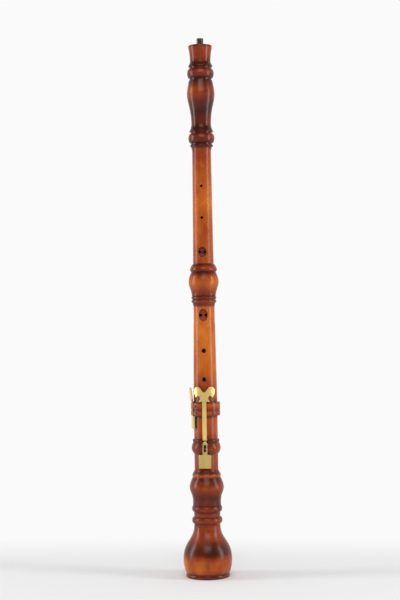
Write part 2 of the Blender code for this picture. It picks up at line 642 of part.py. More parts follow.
def fishtail():
    """Front outline of the great key's touch, heights above its barbs."""
    lobe = (FISHTAIL_HALF_WIDTH - LOBE_RADIUS, FISHTAIL_HEIGHT - LOBE_RADIUS)
    notch = FISHTAIL_HEIGHT - NOTCH_DEPTH
    half = [(NOTCH_SPIKE * 0.75, notch)]
    half += arc(lobe, LOBE_RADIUS, 152, 0, 9)
    half.append((FISHTAIL_HALF_WIDTH * 0.985, (lobe[1] + WING_TIP_HEIGHT) / 2))
    half.append((WING_TIP_OFFSET, WING_TIP_HEIGHT))
    half += arc((CRESCENT_OFFSET, CRESCENT_HEIGHT), CRESCENT_RADIUS, 15, 205, 7)
    half.append((FISHTAIL_WAIST, CRESCENT_HEIGHT - 0.75 * CRESCENT_RADIUS))
    half.append((FISHTAIL_BARB, 0))
    half.append((SHANK_WIDTH / 2, CRESCENT_RADIUS / 2))
    mirrored = [(-across, height) for across, height in reversed(half)]
    return [(0, notch + NOTCH_SPIKE)] + half + mirrored


def curved_blank(low, high, base, top, half_turn):
    """Part of a tube about the body's axis, in the frame of a pin at PIN_OFFSET."""
    builder = bmesh.new()
    corners = [(0, PIN_OFFSET - radius, height) for radius, height in box_section(low, high, base, top)]
    face = builder.faces.new([builder.verts.new(corner) for corner in corners])
    axis = (0, PIN_OFFSET, 0)
    bmesh.ops.rotate(builder, cent=axis, verts=builder.verts, matrix=Matrix.Rotation(-half_turn, 3, "Z"))
    bmesh.ops.spin(builder, geom=[face], cent=axis, axis=(0, 0, 1), angle=2 * half_turn, steps=SMALL_STEPS)
    return builder


def shank_section():
    """Side of the touch lever from the fishtail, over the pin, to the nose that bends down into the channel."""
    bend = NOSE_END + NOSE_LENGTH
    buried = TOUCH_LOW + TOUCH_THICKNESS / 3
    inside = TOUCH_BASE + CRESCENT_HEIGHT / 2
    outer = [(SHANK_HIGH, inside), (SHANK_HIGH, bend), (SHANK_HIGH - 0.13 * NOSE_LENGTH, bend - 0.40 * NOSE_LENGTH),
             (SHANK_HIGH - 0.45 * NOSE_LENGTH, bend - 0.75 * NOSE_LENGTH), (BAR_OFFSET, NOSE_END + NOSE_LENGTH / 10),
             (HOOK_BOTTOM + HOOK_THICKNESS / 4, NOSE_END)]
    inner = [(HOOK_BOTTOM + HOOK_THICKNESS / 4, NOSE_END + NOSE_THICKNESS),
             (BAR_OFFSET, NOSE_END + 1.3 * NOSE_THICKNESS), (SHANK_LOW, bend)]
    boss = list(reversed(lug(SHANK_LOW - PIN_OFFSET)))
    under = [(SHANK_LOW, TOUCH_BASE), (buried, TOUCH_BASE + CRESCENT_HEIGHT / 4), (buried, inside)]
    pin = TOUCH_PIN_HEIGHT
    return around_pin(outer, pin) + around_pin(inner, pin) + boss + around_pin(under, pin)


def hook_section():
    """The tongue under the eye's bar, curling up and back over it."""
    curl = BAR_HEIGHT - EYE_BAR_RADIUS - HOOK_PLAY
    back = curl - HOOK_THICKNESS
    root = NOSE_END + NOSE_THICKNESS / 2
    soft = 0.35 * HOOK_THICKNESS
    return around_pin([
        (HOOK_BOTTOM, root), (HOOK_BOTTOM, back + soft), (HOOK_BOTTOM + soft, back), (HOOK_LIP + soft, back),
        (HOOK_LIP + HOOK_THICKNESS, curl), (HOOK_LIP + HOOK_THICKNESS, BAR_HEIGHT),
        (HOOK_LIP + 2 * soft, BAR_HEIGHT + EYE_BAR_RADIUS), (HOOK_LIP, BAR_HEIGHT + EYE_BAR_RADIUS / 2),
        (HOOK_LIP, curl + soft), (HOOK_LIP - soft, curl), (HOOK_TOP + soft, curl), (HOOK_TOP, curl + soft),
        (HOOK_TOP, root)], TOUCH_PIN_HEIGHT)


def bore_pin_hole(key, width):
    cutter = add_object(key.name + "_pin_hole", rod_mesh(PIN_HOLE_RADIUS, -width, 2 * width, ALONG_X), parent=key)
    combine(key, cutter, "DIFFERENCE")


def make_great_touch():
    """Fishtail, shank and hook of the front key, with its origin on its pin."""
    base = TOUCH_BASE - TOUCH_PIN_HEIGHT
    half_turn = math.asin(min(0.95, FISHTAIL_HALF_WIDTH / TOUCH_LOW)) + math.radians(5)
    blank = curved_blank(TOUCH_LOW, TOUCH_HIGH, base - SHANK_WIDTH, base + FISHTAIL_HEIGHT + SHANK_WIDTH, half_turn)
    touch = add_object("great_key_touch", blank, brass(), place=(0, -PIN_OFFSET, TOUCH_PIN_HEIGHT))
    outline = [(across, base + height) for across, height in fishtail()]
    combine(touch, add_object("fishtail_outline", front_prism(outline, -PIN_OFFSET, OUTSIDE), parent=touch), "INTERSECT")
    shank = add_object("great_key_shank", side_prism(shank_section(), SHANK_WIDTH), parent=touch)
    combine(touch, shank, "UNION")
    hook = add_object("great_key_hook", side_prism(hook_section(), HOOK_WIDTH), parent=touch)
    combine(touch, hook, "UNION")
    bore_pin_hole(touch, SHANK_WIDTH)
    return touch


def make_great_flap():
    """Square flap, neck, fork and eye, modelled closed about its pin and then opened."""
    low = FLAP_LOW - PIN_OFFSET
    high = FLAP_HIGH - PIN_OFFSET
    foot = -FLAP_NECK_LENGTH - FLAP_LENGTH
    section = [(high, foot), (high, EYE_BAR_REACH)]
    section += arc((BAR_RISE, EYE_BAR_REACH), EYE_BAR_RADIUS, 0, 180, 6)[1:]
    section += lug(low)
    section.append((low, foot))
    flap = add_object("great_key_flap", side_prism(section, FLAP_WIDTH + FORK_WIDTH), brass(),
                      place=(0, -PIN_OFFSET, FLAP_PIN_HEIGHT), turn=(-FLAP_OPEN_ANGLE, 0, 0))
    half_fork = FORK_WIDTH / 2
    shoulder = EYE_BAR_REACH - 1.5 * EYE_BAR_RADIUS
    tip = EYE_BAR_RADIUS * 2.7
    half = [(FLAP_WIDTH / 2, foot - FLAP_WIDTH), (FLAP_WIDTH / 2, -FLAP_NECK_LENGTH), (half_fork, -FLAP_NECK_LENGTH)]
    half += [(across, shoulder + tip * rise / half_fork) for across, rise in arc((0, 0), half_fork, 0, 75, 5)]
    outline = half + [(-across, height) for across, height in reversed(half)]
    # The outline runs past the flap's foot, which the section already cuts
    combine(flap, add_object("flap_outline", front_prism(outline, -OUTSIDE, OUTSIDE), parent=flap), "INTERSECT")
    slot = rectangle(half_fork - FORK_PRONG, -FORK_ROOT, EYE_BAR_REACH - 0.7 * EYE_BAR_RADIUS)
    combine(flap, add_object("fork_slot", front_prism(slot, -OUTSIDE, OUTSIDE), parent=flap), "DIFFERENCE")
    bore_pin_hole(flap, FORK_WIDTH)
    return flap


def add_pad(name, key, low, width, foot, top):
    """A leather pad under a flap, given in the key's own frame."""
    section = box_section(low - SEAT_GAP - PAD_THICKNESS, low - SEAT_GAP, foot + PAD_MARGIN, top - PAD_MARGIN)
    return add_object(name, side_prism(section, width - 2 * PAD_MARGIN), material("leather", (0.03, 0.02, 0.015), 0.7),
                      key)


def e_flat_touch_low(height):
    """The underside of the E flat touch, which leans outward towards its end."""
    return KEY_TUBE_RADIUS + E_FLAT_TOUCH_LIFT + E_FLAT_TOUCH_RISE * (height - TOUCH_BASE) / E_FLAT_TOUCH_LENGTH


def make_e_flat_key(side):
    """Flap, shank and touch of the side key, with its origin on its pin."""
    pin = E_FLAT_PIN_HEIGHT
    foot = E_FLAT_FLAP_TOP - E_FLAT_FLAP_LENGTH
    end = TOUCH_BASE + E_FLAT_TOUCH_LENGTH
    shank_high = E_FLAT_LOW + E_FLAT_SHANK_THICKNESS
    flap_high = E_FLAT_LOW + E_FLAT_FLAP_THICKNESS
    step = E_FLAT_TOUCH_LIFT / 2
    outer = [(flap_high, foot), (flap_high, E_FLAT_FLAP_TOP), (shank_high, E_FLAT_FLAP_TOP + step),
             (shank_high, TOUCH_BASE - step), (e_flat_touch_low(TOUCH_BASE) + E_FLAT_TOUCH_THICKNESS, TOUCH_BASE + step),
             (e_flat_touch_low(end) + E_FLAT_TOUCH_THICKNESS, end), (e_flat_touch_low(end), end),
             (e_flat_touch_low(TOUCH_BASE), TOUCH_BASE + 1.5 * step), (E_FLAT_LOW, TOUCH_BASE)]
    section = around_pin(outer, pin) + lug(E_FLAT_LOW - PIN_OFFSET) + around_pin([(E_FLAT_LOW, foot)], pin)
    key = add_object("e_flat_key", side_prism(section, 2 * E_FLAT_FLAP_WIDTH), brass(), side, (0, -PIN_OFFSET, pin))
    half_touch = E_FLAT_TOUCH_WIDTH / 2
    half = [(E_FLAT_FLAP_WIDTH / 2, foot - E_FLAT_FLAP_WIDTH), (E_FLAT_FLAP_WIDTH / 2, E_FLAT_FLAP_TOP),
            (E_FLAT_SHANK_WIDTH / 2, E_FLAT_FLAP_TOP), (E_FLAT_SHANK_WIDTH / 2, TOUCH_BASE + step),
            (0.85 * half_touch, TOUCH_BASE + 2 * step), (half_touch, TOUCH_BASE + 4 * step)]
    half += arc((0, end - half_touch), half_touch, 0, 80, 6)
    outline = half + [(-across, height) for across, height in reversed(half)]
    outline = [(across, height - pin) for across, height in outline]
    combine(key, add_object("e_flat_outline", front_prism(outline, -OUTSIDE, OUTSIDE), parent=key), "INTERSECT")
    bore_pin_hole(key, E_FLAT_FLAP_WIDTH)
    return key


def add_spring(name, key, section, rivet_name, rivet_height, rivet_low, rivet_high):
    """A leaf spring under a key and the rivet that holds it in a blind hole of the key."""
    spring = add_object(name, side_prism(section, SPRING_WIDTH), material("spring_brass", (0.55, 0.38, 0.15), 0.35, 1.0),
                        key)
    hole = rod_mesh(RIVET_RADIUS + SEAT_GAP, rivet_low - SPRING_WIDTH, rivet_high + SEAT_GAP - rivet_low + SPRING_WIDTH,
                    OUTWARD, 12)
    cutter = add_object(name + "_hole", hole, parent=key, place=(0, 0, rivet_height))
    combine(spring, cutter, "DIFFERENCE")
    combine(key, cutter, "DIFFERENCE")
    add_object(rivet_name, rod_mesh(RIVET_RADIUS, rivet_low, rivet_high - rivet_low, OUTWARD, 12), brass(), key,
               (0, 0, rivet_height))


def add_great_spring(touch):
    rivet = TOUCH_BASE + TOUCH_RIVET_HEIGHT
    top = math.sqrt(TOUCH_LOW ** 2 - (SPRING_WIDTH / 2) ** 2) - SEAT_GAP
    low = top - SPRING_THICKNESS
    tip = rivet - TOUCH_SPRING_LENGTH
    tip_low = KEY_TUBE_RADIUS + SPRING_TIP_LIFT
    section = [(top, rivet + SPRING_END), (top, rivet - SPRING_END), (tip_low + SPRING_THICKNESS, tip), (tip_low, tip),
               (low, rivet - SPRING_END), (low, rivet + SPRING_END)]
    pin = TOUCH_PIN_HEIGHT
    add_spring("great_key_touch_spring", touch, around_pin(section, pin), "great_key_touch_rivet", rivet - pin,
               low - PIN_OFFSET, TOUCH_LOW + RIVET_DEPTH - PIN_OFFSET)


def add_e_flat_spring(key):
    rivet = TOUCH_BASE + E_FLAT_RIVET_HEIGHT
    tip = rivet - E_FLAT_SPRING_LENGTH
    tip_low = KEY_TUBE_RADIUS + E_FLAT_SPRING_TIP_LIFT
    held = [(e_flat_touch_low(height) - SEAT_GAP, height) for height in (rivet + SPRING_END, rivet - SPRING_END)]
    section = held + [(tip_low + SPRING_THICKNESS, tip), (tip_low, tip)]
    section += [(offset - SPRING_THICKNESS, height) for offset, height in reversed(held)]
    under = e_flat_touch_low(rivet)
    pin = E_FLAT_PIN_HEIGHT
    add_spring("e_flat_spring", key, around_pin(section, pin), "e_flat_rivet", rivet - pin,
               under - SEAT_GAP - SPRING_THICKNESS - PIN_OFFSET, under + RIVET_DEPTH - PIN_OFFSET)


def cut_key_work(joint, front, side):
    """Channels, pin holes, pad seats and tone holes of both keys in the middle joint."""
    ring_low = MIDDLE_SHOULDER + RING_FOOT - SEAT_GAP
    ring_high = MIDDLE_SHOULDER + RING_TOP + SEAT_GAP
    cut_channel(joint, "great_upper_channel", front, SHANK_WIDTH + 2 * KEY_SIDE_GAP,
                channel_section(ring_low, ring_high, CHANNEL_FLOOR, TOUCH_PIN_HEIGHT))
    cut_channel(joint, "great_lower_channel", front, FORK_WIDTH + 2 * KEY_SIDE_GAP,
                box_section(LOWER_CHANNEL_FLOOR, OUTSIDE, FLAP_PIN_HEIGHT - FLAP_NECK_LENGTH,
                            NOSE_END + NOSE_LENGTH + KEY_FLOOR_GAP))
    cut_pin_hole(joint, "great_touch_pin_hole", front, TOUCH_PIN_HEIGHT)
    cut_pin_hole(joint, "great_flap_pin_hole", front, FLAP_PIN_HEIGHT)
    flap_top = FLAP_PIN_HEIGHT - FLAP_NECK_LENGTH
    flap_foot = flap_top - FLAP_LENGTH
    cut_seat(joint, "great_seat", front, GREAT_SEAT_OFFSET, flap_foot - SEAT_MARGIN, flap_top + SEAT_MARGIN)
    drill(joint, "great_tone_hole", (flap_top + flap_foot) / 2, GREAT_TONE_HOLE_RADIUS, parent=front)
    cut_channel(joint, "e_flat_channel", side, E_FLAT_SHANK_WIDTH + 2 * KEY_SIDE_GAP,
                channel_section(ring_low, ring_high, CHANNEL_FLOOR, E_FLAT_PIN_HEIGHT))
    cut_pin_hole(joint, "e_flat_pin_hole", side, E_FLAT_PIN_HEIGHT)
    foot = E_FLAT_FLAP_TOP - E_FLAT_FLAP_LENGTH
    cut_seat(joint, "e_flat_seat", side, E_FLAT_SEAT_OFFSET, foot - SEAT_MARGIN, E_FLAT_FLAP_TOP + SEAT_GAP)
    drill(joint, "e_flat_tone_hole", (E_FLAT_FLAP_TOP + foot) / 2, E_FLAT_TONE_HOLE_RADIUS, parent=side)


def make_crook_socket(joint):
    """Black sleeve in the top of the instrument, into which the crook is pushed."""
    outline = Outline(CROOK_SOCKET_BORE, CROOK_SOCKET_STAND)
    outline.line(CROOK_SOCKET_RADIUS - CROOK_SOCKET_EDGE, CROOK_SOCKET_STAND)
    outline.arch(CROOK_SOCKET_RADIUS, CROOK_SOCKET_STAND - CROOK_SOCKET_EDGE, 2, 0)
    outline.line(CROOK_SOCKET_RADIUS, -CROOK_SOCKET_DEPTH)
    outline.line(CROOK_SOCKET_BORE, -CROOK_SOCKET_DEPTH)
    return add_object("crook_socket", turned_mesh(outline, 20), material("black_sleeve", (0.01, 0.01, 0.01), 0.35),
                      joint, (0, 0, TOP_LENGTH))


def build():
    for old in list(bpy.data.objects):
        bpy.data.objects.remove(old, do_unlink=True)
    dark_wood = material("stained_boxwood", (0.30, 0.075, 0.028), 0.32)
    light_wood = material("light_boxwood", (0.50, 0.18, 0.06), 0.32)
    make_bell(dark_wood)
    middle = make_middle_joint(light_wood)
    top = make_top_joint(light_wood)
    lapping("middle_tenon_thread", middle, MIDDLE_TENON_RADIUS, MIDDLE_TENON_LENGTH)
    lapping("top_tenon_thread", top, TOP_TENON_RADIUS, TOP_TENON_LENGTH)
    make_crook_socket(top)

    front = add_empty("front_side")
    side = add_empty("e_flat_side", turn=(0, 0, E_FLAT_ANGLE))
    cut_key_work(middle, front, side)
    add_pin("great_key_touch_pin", front, TOUCH_PIN_HEIGHT, DOUBLE_RING_RADIUS)
    add_pin("great_key_flap_pin", front, FLAP_PIN_HEIGHT, BULGE_RADIUS)
    add_pin("e_flat_pin", side, E_FLAT_PIN_HEIGHT, DOUBLE_RING_RADIUS)

    touch = make_great_touch()
    add_great_spring(touch)
    flap = make_great_flap()
    add_pad("great_key_pad", flap, FLAP_LOW - PIN_OFFSET, FLAP_WIDTH, -FLAP_NECK_LENGTH - FLAP_LENGTH,
            -FLAP_NECK_LENGTH)
    key = make_e_flat_key(side)
    add_e_flat_spring(key)
    flap_top = E_FLAT_FLAP_TOP - E_FLAT_PIN_HEIGHT
    add_pad("e_flat_pad", key, E_FLAT_LOW - PIN_OFFSET, E_FLAT_FLAP_WIDTH, flap_top - E_FLAT_FLAP_LENGTH, flap_top)


build()
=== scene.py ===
"""Dressed scene of a baroque oboe d'amore: turned and stained boxwood, brass keys, leather pads.

The turned joints and the keys are made again here with finer curves, from the sizes of the solids.
"""

import math

import bmesh
import bpy
from mathutils import Matrix, Vector


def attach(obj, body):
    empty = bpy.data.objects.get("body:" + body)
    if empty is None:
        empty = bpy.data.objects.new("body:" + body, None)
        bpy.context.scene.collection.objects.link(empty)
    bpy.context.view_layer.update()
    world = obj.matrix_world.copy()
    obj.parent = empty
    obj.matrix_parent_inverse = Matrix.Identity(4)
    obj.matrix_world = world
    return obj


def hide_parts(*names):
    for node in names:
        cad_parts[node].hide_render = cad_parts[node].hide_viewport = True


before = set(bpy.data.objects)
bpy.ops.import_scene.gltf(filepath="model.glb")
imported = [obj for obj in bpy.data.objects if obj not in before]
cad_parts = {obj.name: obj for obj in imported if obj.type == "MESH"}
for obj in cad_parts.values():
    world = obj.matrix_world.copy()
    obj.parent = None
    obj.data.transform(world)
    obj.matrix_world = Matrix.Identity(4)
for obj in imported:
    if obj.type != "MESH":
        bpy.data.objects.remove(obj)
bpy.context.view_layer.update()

# Facets and clearances
TURNED_STEPS = 144
SMALL_STEPS = 48
SLEEVE_STEPS = 64
DISH_STEPS = 64
RIVET_STEPS = 24
RIVET_HOLE_STEPS = 12
CURVE_FINENESS = 4
RING_SPACING = 0.0025
SEAT_GAP = 0.0003
KEY_SIDE_GAP = 0.0006
KEY_FLOOR_GAP = 0.0005
SOCKET_GAP = 0.0004

# Lengths of the three joints, each from its shoulder to its top face
BELL_HEIGHT = 0.1260
MIDDLE_LENGTH = 0.2417
TOP_LENGTH = 0.2567

# Tenons and their thread lapping
MIDDLE_TENON_LENGTH = 0.0230
MIDDLE_TENON_RADIUS = 0.0115
TOP_TENON_LENGTH = 0.0260
TOP_TENON_RADIUS = 0.0099
TENON_COLLAR = 0.0030
LAPPING_DEPTH = 0.0010
LAPPING_PROUD = 0.0001
LAPPING_RIDGE = 0.0002
LAPPING_RIDGES = 24
SOCKET_END_GAP = 0.0005

# Bore, a slow cone from the crook to the bell
BORE_TOP_RADIUS = 0.0033
TOP_BORE_END_RADIUS = 0.0064
MIDDLE_BORE_START_RADIUS = 0.0066
MIDDLE_BORE_END_RADIUS = 0.0093
BELL_BORE_RADIUS = 0.0098

# Crook socket
CROOK_SOCKET_RADIUS = 0.0040
CROOK_SOCKET_BORE = 0.0032
CROOK_SOCKET_DEPTH = 0.0200
CROOK_SOCKET_STAND = 0.0084
CROOK_SOCKET_EDGE = 0.0006

# Top joint: radii, and depths below its top face
EDGE_ROUND = 0.0006
FINIAL_RIM_RADIUS = 0.0139
FINIAL_RIM_HEIGHT = 0.0026
FINIAL_NECK_RADIUS = 0.0121
FINIAL_NECK_DEPTH = 0.0190
FINIAL_EDGE_RADIUS = 0.0143
FINIAL_EDGE_DEPTH = 0.0242
FILLET_HEIGHT = 0.0007
FINIAL_BEAD_RADIUS = 0.0157
FINIAL_BEAD_DEPTH = 0.0330
FINIAL_BEAD_HALF = 0.0058
FINIAL_GROOVE_RADIUS = 0.0128
BALUSTER_TOP_RADIUS = 0.0138
BALUSTER_TOP_DEPTH = 0.0410
BALUSTER_RADIUS = 0.0163
BALUSTER_DEPTH = 0.0566
BALUSTER_WAIST_RADIUS = 0.0116
BALUSTER_WAIST_DEPTH = 0.0925
COLLAR_EDGE_RADIUS = 0.0141
COLLAR_EDGE_DEPTH = 0.1010
COLLAR_BEAD_RADIUS = 0.0154
COLLAR_BEAD_DEPTH = 0.1093
COLLAR_BEAD_HALF = 0.0058
COLLAR_GROOVE_RADIUS = 0.0123
ASTRAGAL_RADIUS = 0.0136
ASTRAGAL_DEPTH = 0.1180
ASTRAGAL_HALF = 0.0014
TOP_TUBE_START_DEPTH = 0.1260
TOP_TUBE_START_RADIUS = 0.0111
TOP_TUBE_END_RADIUS = 0.0121

# Middle joint, socket end: radii, and depths below its top face
SOCKET_RIM_RADIUS = 0.0124
SOCKET_RING_RADIUS = 0.0159
SOCKET_RING_DEPTH = 0.0069
SOCKET_GROOVE_RADIUS = 0.0144
SOCKET_GROOVE_DEPTH = 0.0097
SOCKET_BULB_RADIUS = 0.01775
SOCKET_BULB_DEPTH = 0.0210
SOCKET_NECK_RADIUS = 0.0142
SOCKET_NECK_DEPTH = 0.0375
TWIN_BEAD_RADIUS = 0.0147
TWIN_BEAD_DEPTH = 0.0420
TWIN_BEAD_HALF = 0.0018
TWIN_BEAD_FOOT_RADIUS = 0.0135
MIDDLE_WAIST_RADIUS = 0.01245
MIDDLE_WAIST_DEPTH = 0.0520
MIDDLE_WAIST_LENGTH = 0.0130
MIDDLE_TUBE_START_DEPTH = 0.0750
MIDDLE_TUBE_START_RADIUS = 0.0128

# Middle joint, key rings: radii, and heights above its shoulder
KEY_TUBE_RADIUS = 0.0140
DOUBLE_RING_RADIUS = 0.0172
DOUBLE_RING_HEIGHT = 0.0699
UPPER_RING_LENGTH = 0.0093
LOWER_RING_LENGTH = 0.0066
RING_GROOVE_WIDTH = 0.0010
RING_GROOVE_DEPTH = 0.0009
RING_ROUND = 0.0012
BULGE_RADIUS = 0.0171
BULGE_HEIGHT = 0.0251
BULGE_HALF = 0.0070
BULGE_TOP_RADIUS = 0.0151
TUBE_BEAD_RADIUS = 0.0158
TUBE_BEAD_HALF = 0.0021

# Bell: radii, and heights above its foot
BELL_RIM_RADIUS = 0.0141
BELL_RING_RADIUS = 0.0169
BELL_RING_HEIGHT = 0.1196
BELL_RING_HALF = 0.0020
BELL_RING_GROOVE = 0.0162
BELL_SWELL_RADIUS = 0.0202
BELL_SWELL_HEIGHT = 0.1055
BELL_FILLET_RADIUS = 0.0165
BELL_FILLET_HEIGHT = 0.0885
BELL_WAIST_RADIUS = 0.0154
UPPER_BEAD_RADIUS = 0.0178
UPPER_BEAD_HEIGHT = 0.0803
LOWER_BEAD_RADIUS = 0.0179
LOWER_BEAD_HEIGHT = 0.0667
BELL_BEAD_HALF = 0.0039
BULB_START_HEIGHT = 0.0615
BULB_RADIUS = 0.0287
BULB_HEIGHT = 0.0206
LIP_GROOVE_RADIUS = 0.0253
LIP_GROOVE_HEIGHT = 0.0042
LIP_RADIUS = 0.0259
LIP_HEIGHT = 0.0020
FOOT_RADIUS = 0.0246
BELL_MOUTH_RADIUS = 0.0160
BELL_MOUTH_LENGTH = 0.0060
BELL_CAVITY_RADIUS = 0.0222
BELL_CAVITY_HEIGHT = 0.0230
BELL_THROAT_HEIGHT = 0.0620

# Finger holes: radii, and heights above the shoulder of their joint
HOLE_1_RADIUS = 0.0016
HOLE_1_HEIGHT = 0.0907
HOLE_2_RADIUS = 0.00175
HOLE_2_HEIGHT = 0.0537
HOLE_3_RADIUS = 0.0013
HOLE_3_HEIGHT = 0.0135
HOLE_4_RADIUS = 0.00175
HOLE_4_HEIGHT = 0.1814
HOLE_5_RADIUS = 0.0026
HOLE_5_HEIGHT = 0.1397
HOLE_6_RADIUS = 0.00245
HOLE_6_HEIGHT = 0.1061
TWIN_HOLE_SPACING = 0.0060
DISH_3_WIDTH = 0.0092
DISH_3_HEIGHT = 0.0112
DISH_4_WIDTH = 0.0100
DISH_4_HEIGHT = 0.0138
DISH_DEPTH = 0.0012

# Keys, shared: offsets are distances from the body's axis
PIN_RADIUS = 0.0006
PIN_HOLE_GAP = 0.0003
PIN_OFFSET = 0.0143
LUG_RADIUS = 0.0016
CHANNEL_FLOOR = 0.0133
PAD_THICKNESS = 0.0018
PAD_MARGIN = 0.0006
SPRING_THICKNESS = 0.0004
SPRING_WIDTH = 0.0030
SPRING_TIP_LIFT = 0.0008
RIVET_RADIUS = 0.0005
RIVET_DEPTH = 0.0006
TOUCH_RING_GAP = 0.0006

# Great key, touch lever
TOUCH_LIFT = 0.0020
TOUCH_THICKNESS = 0.0016
SHANK_WIDTH = 0.0050
SHANK_LIFT = 0.0010
SHANK_THICKNESS = 0.0022
NOSE_LENGTH = 0.0040
NOSE_THICKNESS = 0.0021
FISHTAIL_HEIGHT = 0.0178
FISHTAIL_HALF_WIDTH = 0.0120
LOBE_RADIUS = 0.0041
NOTCH_DEPTH = 0.0067
NOTCH_SPIKE = 0.0012
FISHTAIL_WAIST = 0.0048
FISHTAIL_BARB = 0.0067
CRESCENT_RADIUS = 0.0019
CRESCENT_HEIGHT = 0.0056
CRESCENT_OFFSET = 0.0070
WING_TIP_HEIGHT = 0.0060
WING_TIP_OFFSET = 0.0101
HOOK_WIDTH = 0.0022
HOOK_THICKNESS = 0.0011
HOOK_PLAY = 0.0005
TOUCH_RIVET_HEIGHT = 0.0085
TOUCH_SPRING_LENGTH = 0.0060
SPRING_END = 0.0016

# Great key, flap lever
FLAP_OPEN_ANGLE = math.radians(10.0)
FLAP_WIDTH = 0.0145
FLAP_LENGTH = 0.0156
FLAP_THICKNESS = 0.0016
FLAP_NECK_LENGTH = 0.0072
FORK_WIDTH = 0.0058
FORK_PRONG = 0.00145
FORK_ROOT = 0.0040
EYE_BAR_REACH = 0.0069
GREAT_SEAT_OFFSET = 0.0124
SEAT_MARGIN = 0.0006
GREAT_TONE_HOLE_RADIUS = 0.0040

# E flat key
E_FLAT_ANGLE = math.radians(-70.0)
E_FLAT_SHANK_WIDTH = 0.0040
E_FLAT_SHANK_THICKNESS = 0.0021
E_FLAT_SEAT_OFFSET = 0.0121
E_FLAT_FLAP_WIDTH = 0.0090
E_FLAT_FLAP_LENGTH = 0.0145
E_FLAT_FLAP_THICKNESS = 0.0016
E_FLAT_TOUCH_WIDTH = 0.0075
E_FLAT_TOUCH_LENGTH = 0.0168
E_FLAT_TOUCH_THICKNESS = 0.0013
E_FLAT_TOUCH_LIFT = 0.0024
E_FLAT_TOUCH_RISE = 0.0012
E_FLAT_RIVET_HEIGHT = 0.0120
E_FLAT_SPRING_LENGTH = 0.0108
E_FLAT_SPRING_TIP_LIFT = 0.0013
E_FLAT_TONE_HOLE_RADIUS = 0.0028

# Turns of a round rod that is made along +Z
ALONG_X = Matrix.Rotation(math.pi / 2, 3, "Y")
OUTWARD = Matrix.Rotation(math.pi / 2, 3, "X")

# Places that follow from the sizes above
MIDDLE_SHOULDER = BELL_HEIGHT + SEAT_GAP
TOP_SHOULDER = MIDDLE_SHOULDER + MIDDLE_LENGTH + SEAT_GAP
BELL_SOCKET_RADIUS = MIDDLE_TENON_RADIUS + SOCKET_GAP
BELL_SOCKET_FLOOR = MIDDLE_SHOULDER - MIDDLE_TENON_LENGTH - SOCKET_END_GAP
MIDDLE_SOCKET_RADIUS = TOP_TENON_RADIUS + SOCKET_GAP
MIDDLE_SOCKET_FLOOR = MIDDLE_LENGTH + SEAT_GAP - TOP_TENON_LENGTH - SOCKET_END_GAP
CROOK_WELL_RADIUS = CROOK_SOCKET_RADIUS + SEAT_GAP
CROOK_WELL_FLOOR = TOP_LENGTH - CROOK_SOCKET_DEPTH - SEAT_GAP
RING_TOP = DOUBLE_RING_HEIGHT + UPPER_RING_LENGTH
RING_FOOT = DOUBLE_RING_HEIGHT - LOWER_RING_LENGTH
HALF_GROOVE = RING_GROOVE_WIDTH / 2
TOUCH_PIN_HEIGHT = MIDDLE_SHOULDER + (DOUBLE_RING_HEIGHT - HALF_GROOVE + RING_FOOT) / 2
E_FLAT_PIN_HEIGHT = MIDDLE_SHOULDER + (DOUBLE_RING_HEIGHT + HALF_GROOVE + RING_TOP) / 2
FLAP_PIN_HEIGHT = MIDDLE_SHOULDER + BULGE_HEIGHT
PIN_HOLE_RADIUS = PIN_RADIUS + PIN_HOLE_GAP
POCKET_FLOOR = PIN_OFFSET - LUG_RADIUS - KEY_FLOOR_GAP
POCKET_HALF = LUG_RADIUS + KEY_FLOOR_GAP
OUTSIDE = BULB_RADIUS + BELL_CAVITY_RADIUS
SHANK_LOW = KEY_TUBE_RADIUS + SHANK_LIFT
SHANK_HIGH = SHANK_LOW + SHANK_THICKNESS
TOUCH_LOW = KEY_TUBE_RADIUS + TOUCH_LIFT
TOUCH_HIGH = TOUCH_LOW + TOUCH_THICKNESS
TOUCH_BASE = MIDDLE_SHOULDER + RING_TOP + TOUCH_RING_GAP
FLAP_LOW = GREAT_SEAT_OFFSET + PAD_THICKNESS + 2 * SEAT_GAP
FLAP_HIGH = FLAP_LOW + FLAP_THICKNESS
EYE_BAR_RADIUS = FLAP_THICKNESS / 2
E_FLAT_LOW = E_FLAT_SEAT_OFFSET + PAD_THICKNESS + 2 * SEAT_GAP
E_FLAT_FLAP_TOP = MIDDLE_SHOULDER + RING_FOOT - TOUCH_RING_GAP

# The eye's bar: from the flap lever's pin when closed, and in the world at rest, with the flap open
BAR_RISE = FLAP_LOW + EYE_BAR_RADIUS - PIN_OFFSET
BAR_HEIGHT = (FLAP_PIN_HEIGHT + EYE_BAR_REACH * math.cos(FLAP_OPEN_ANGLE)
              + BAR_RISE * math.sin(FLAP_OPEN_ANGLE))
BAR_OFFSET = (PIN_OFFSET + BAR_RISE * math.cos(FLAP_OPEN_ANGLE)
              - EYE_BAR_REACH * math.sin(FLAP_OPEN_ANGLE))
HOOK_TOP = BAR_OFFSET - EYE_BAR_RADIUS - SEAT_GAP
HOOK_BOTTOM = HOOK_TOP - HOOK_THICKNESS
HOOK_LIP = BAR_OFFSET + EYE_BAR_RADIUS + SEAT_GAP
NOSE_END = BAR_HEIGHT + EYE_BAR_RADIUS + 2 * HOOK_PLAY
LOWER_CHANNEL_FLOOR = HOOK_BOTTOM - SEAT_GAP

# Finish of the pieces
SHARP_ANGLE = math.radians(32)
ROUNDED_ANGLE = 0.6
KEY_EDGE = 0.00028
PAD_EDGE = 0.0004
PIN_EDGE = 0.00015
LEAF_EDGE = 0.00008

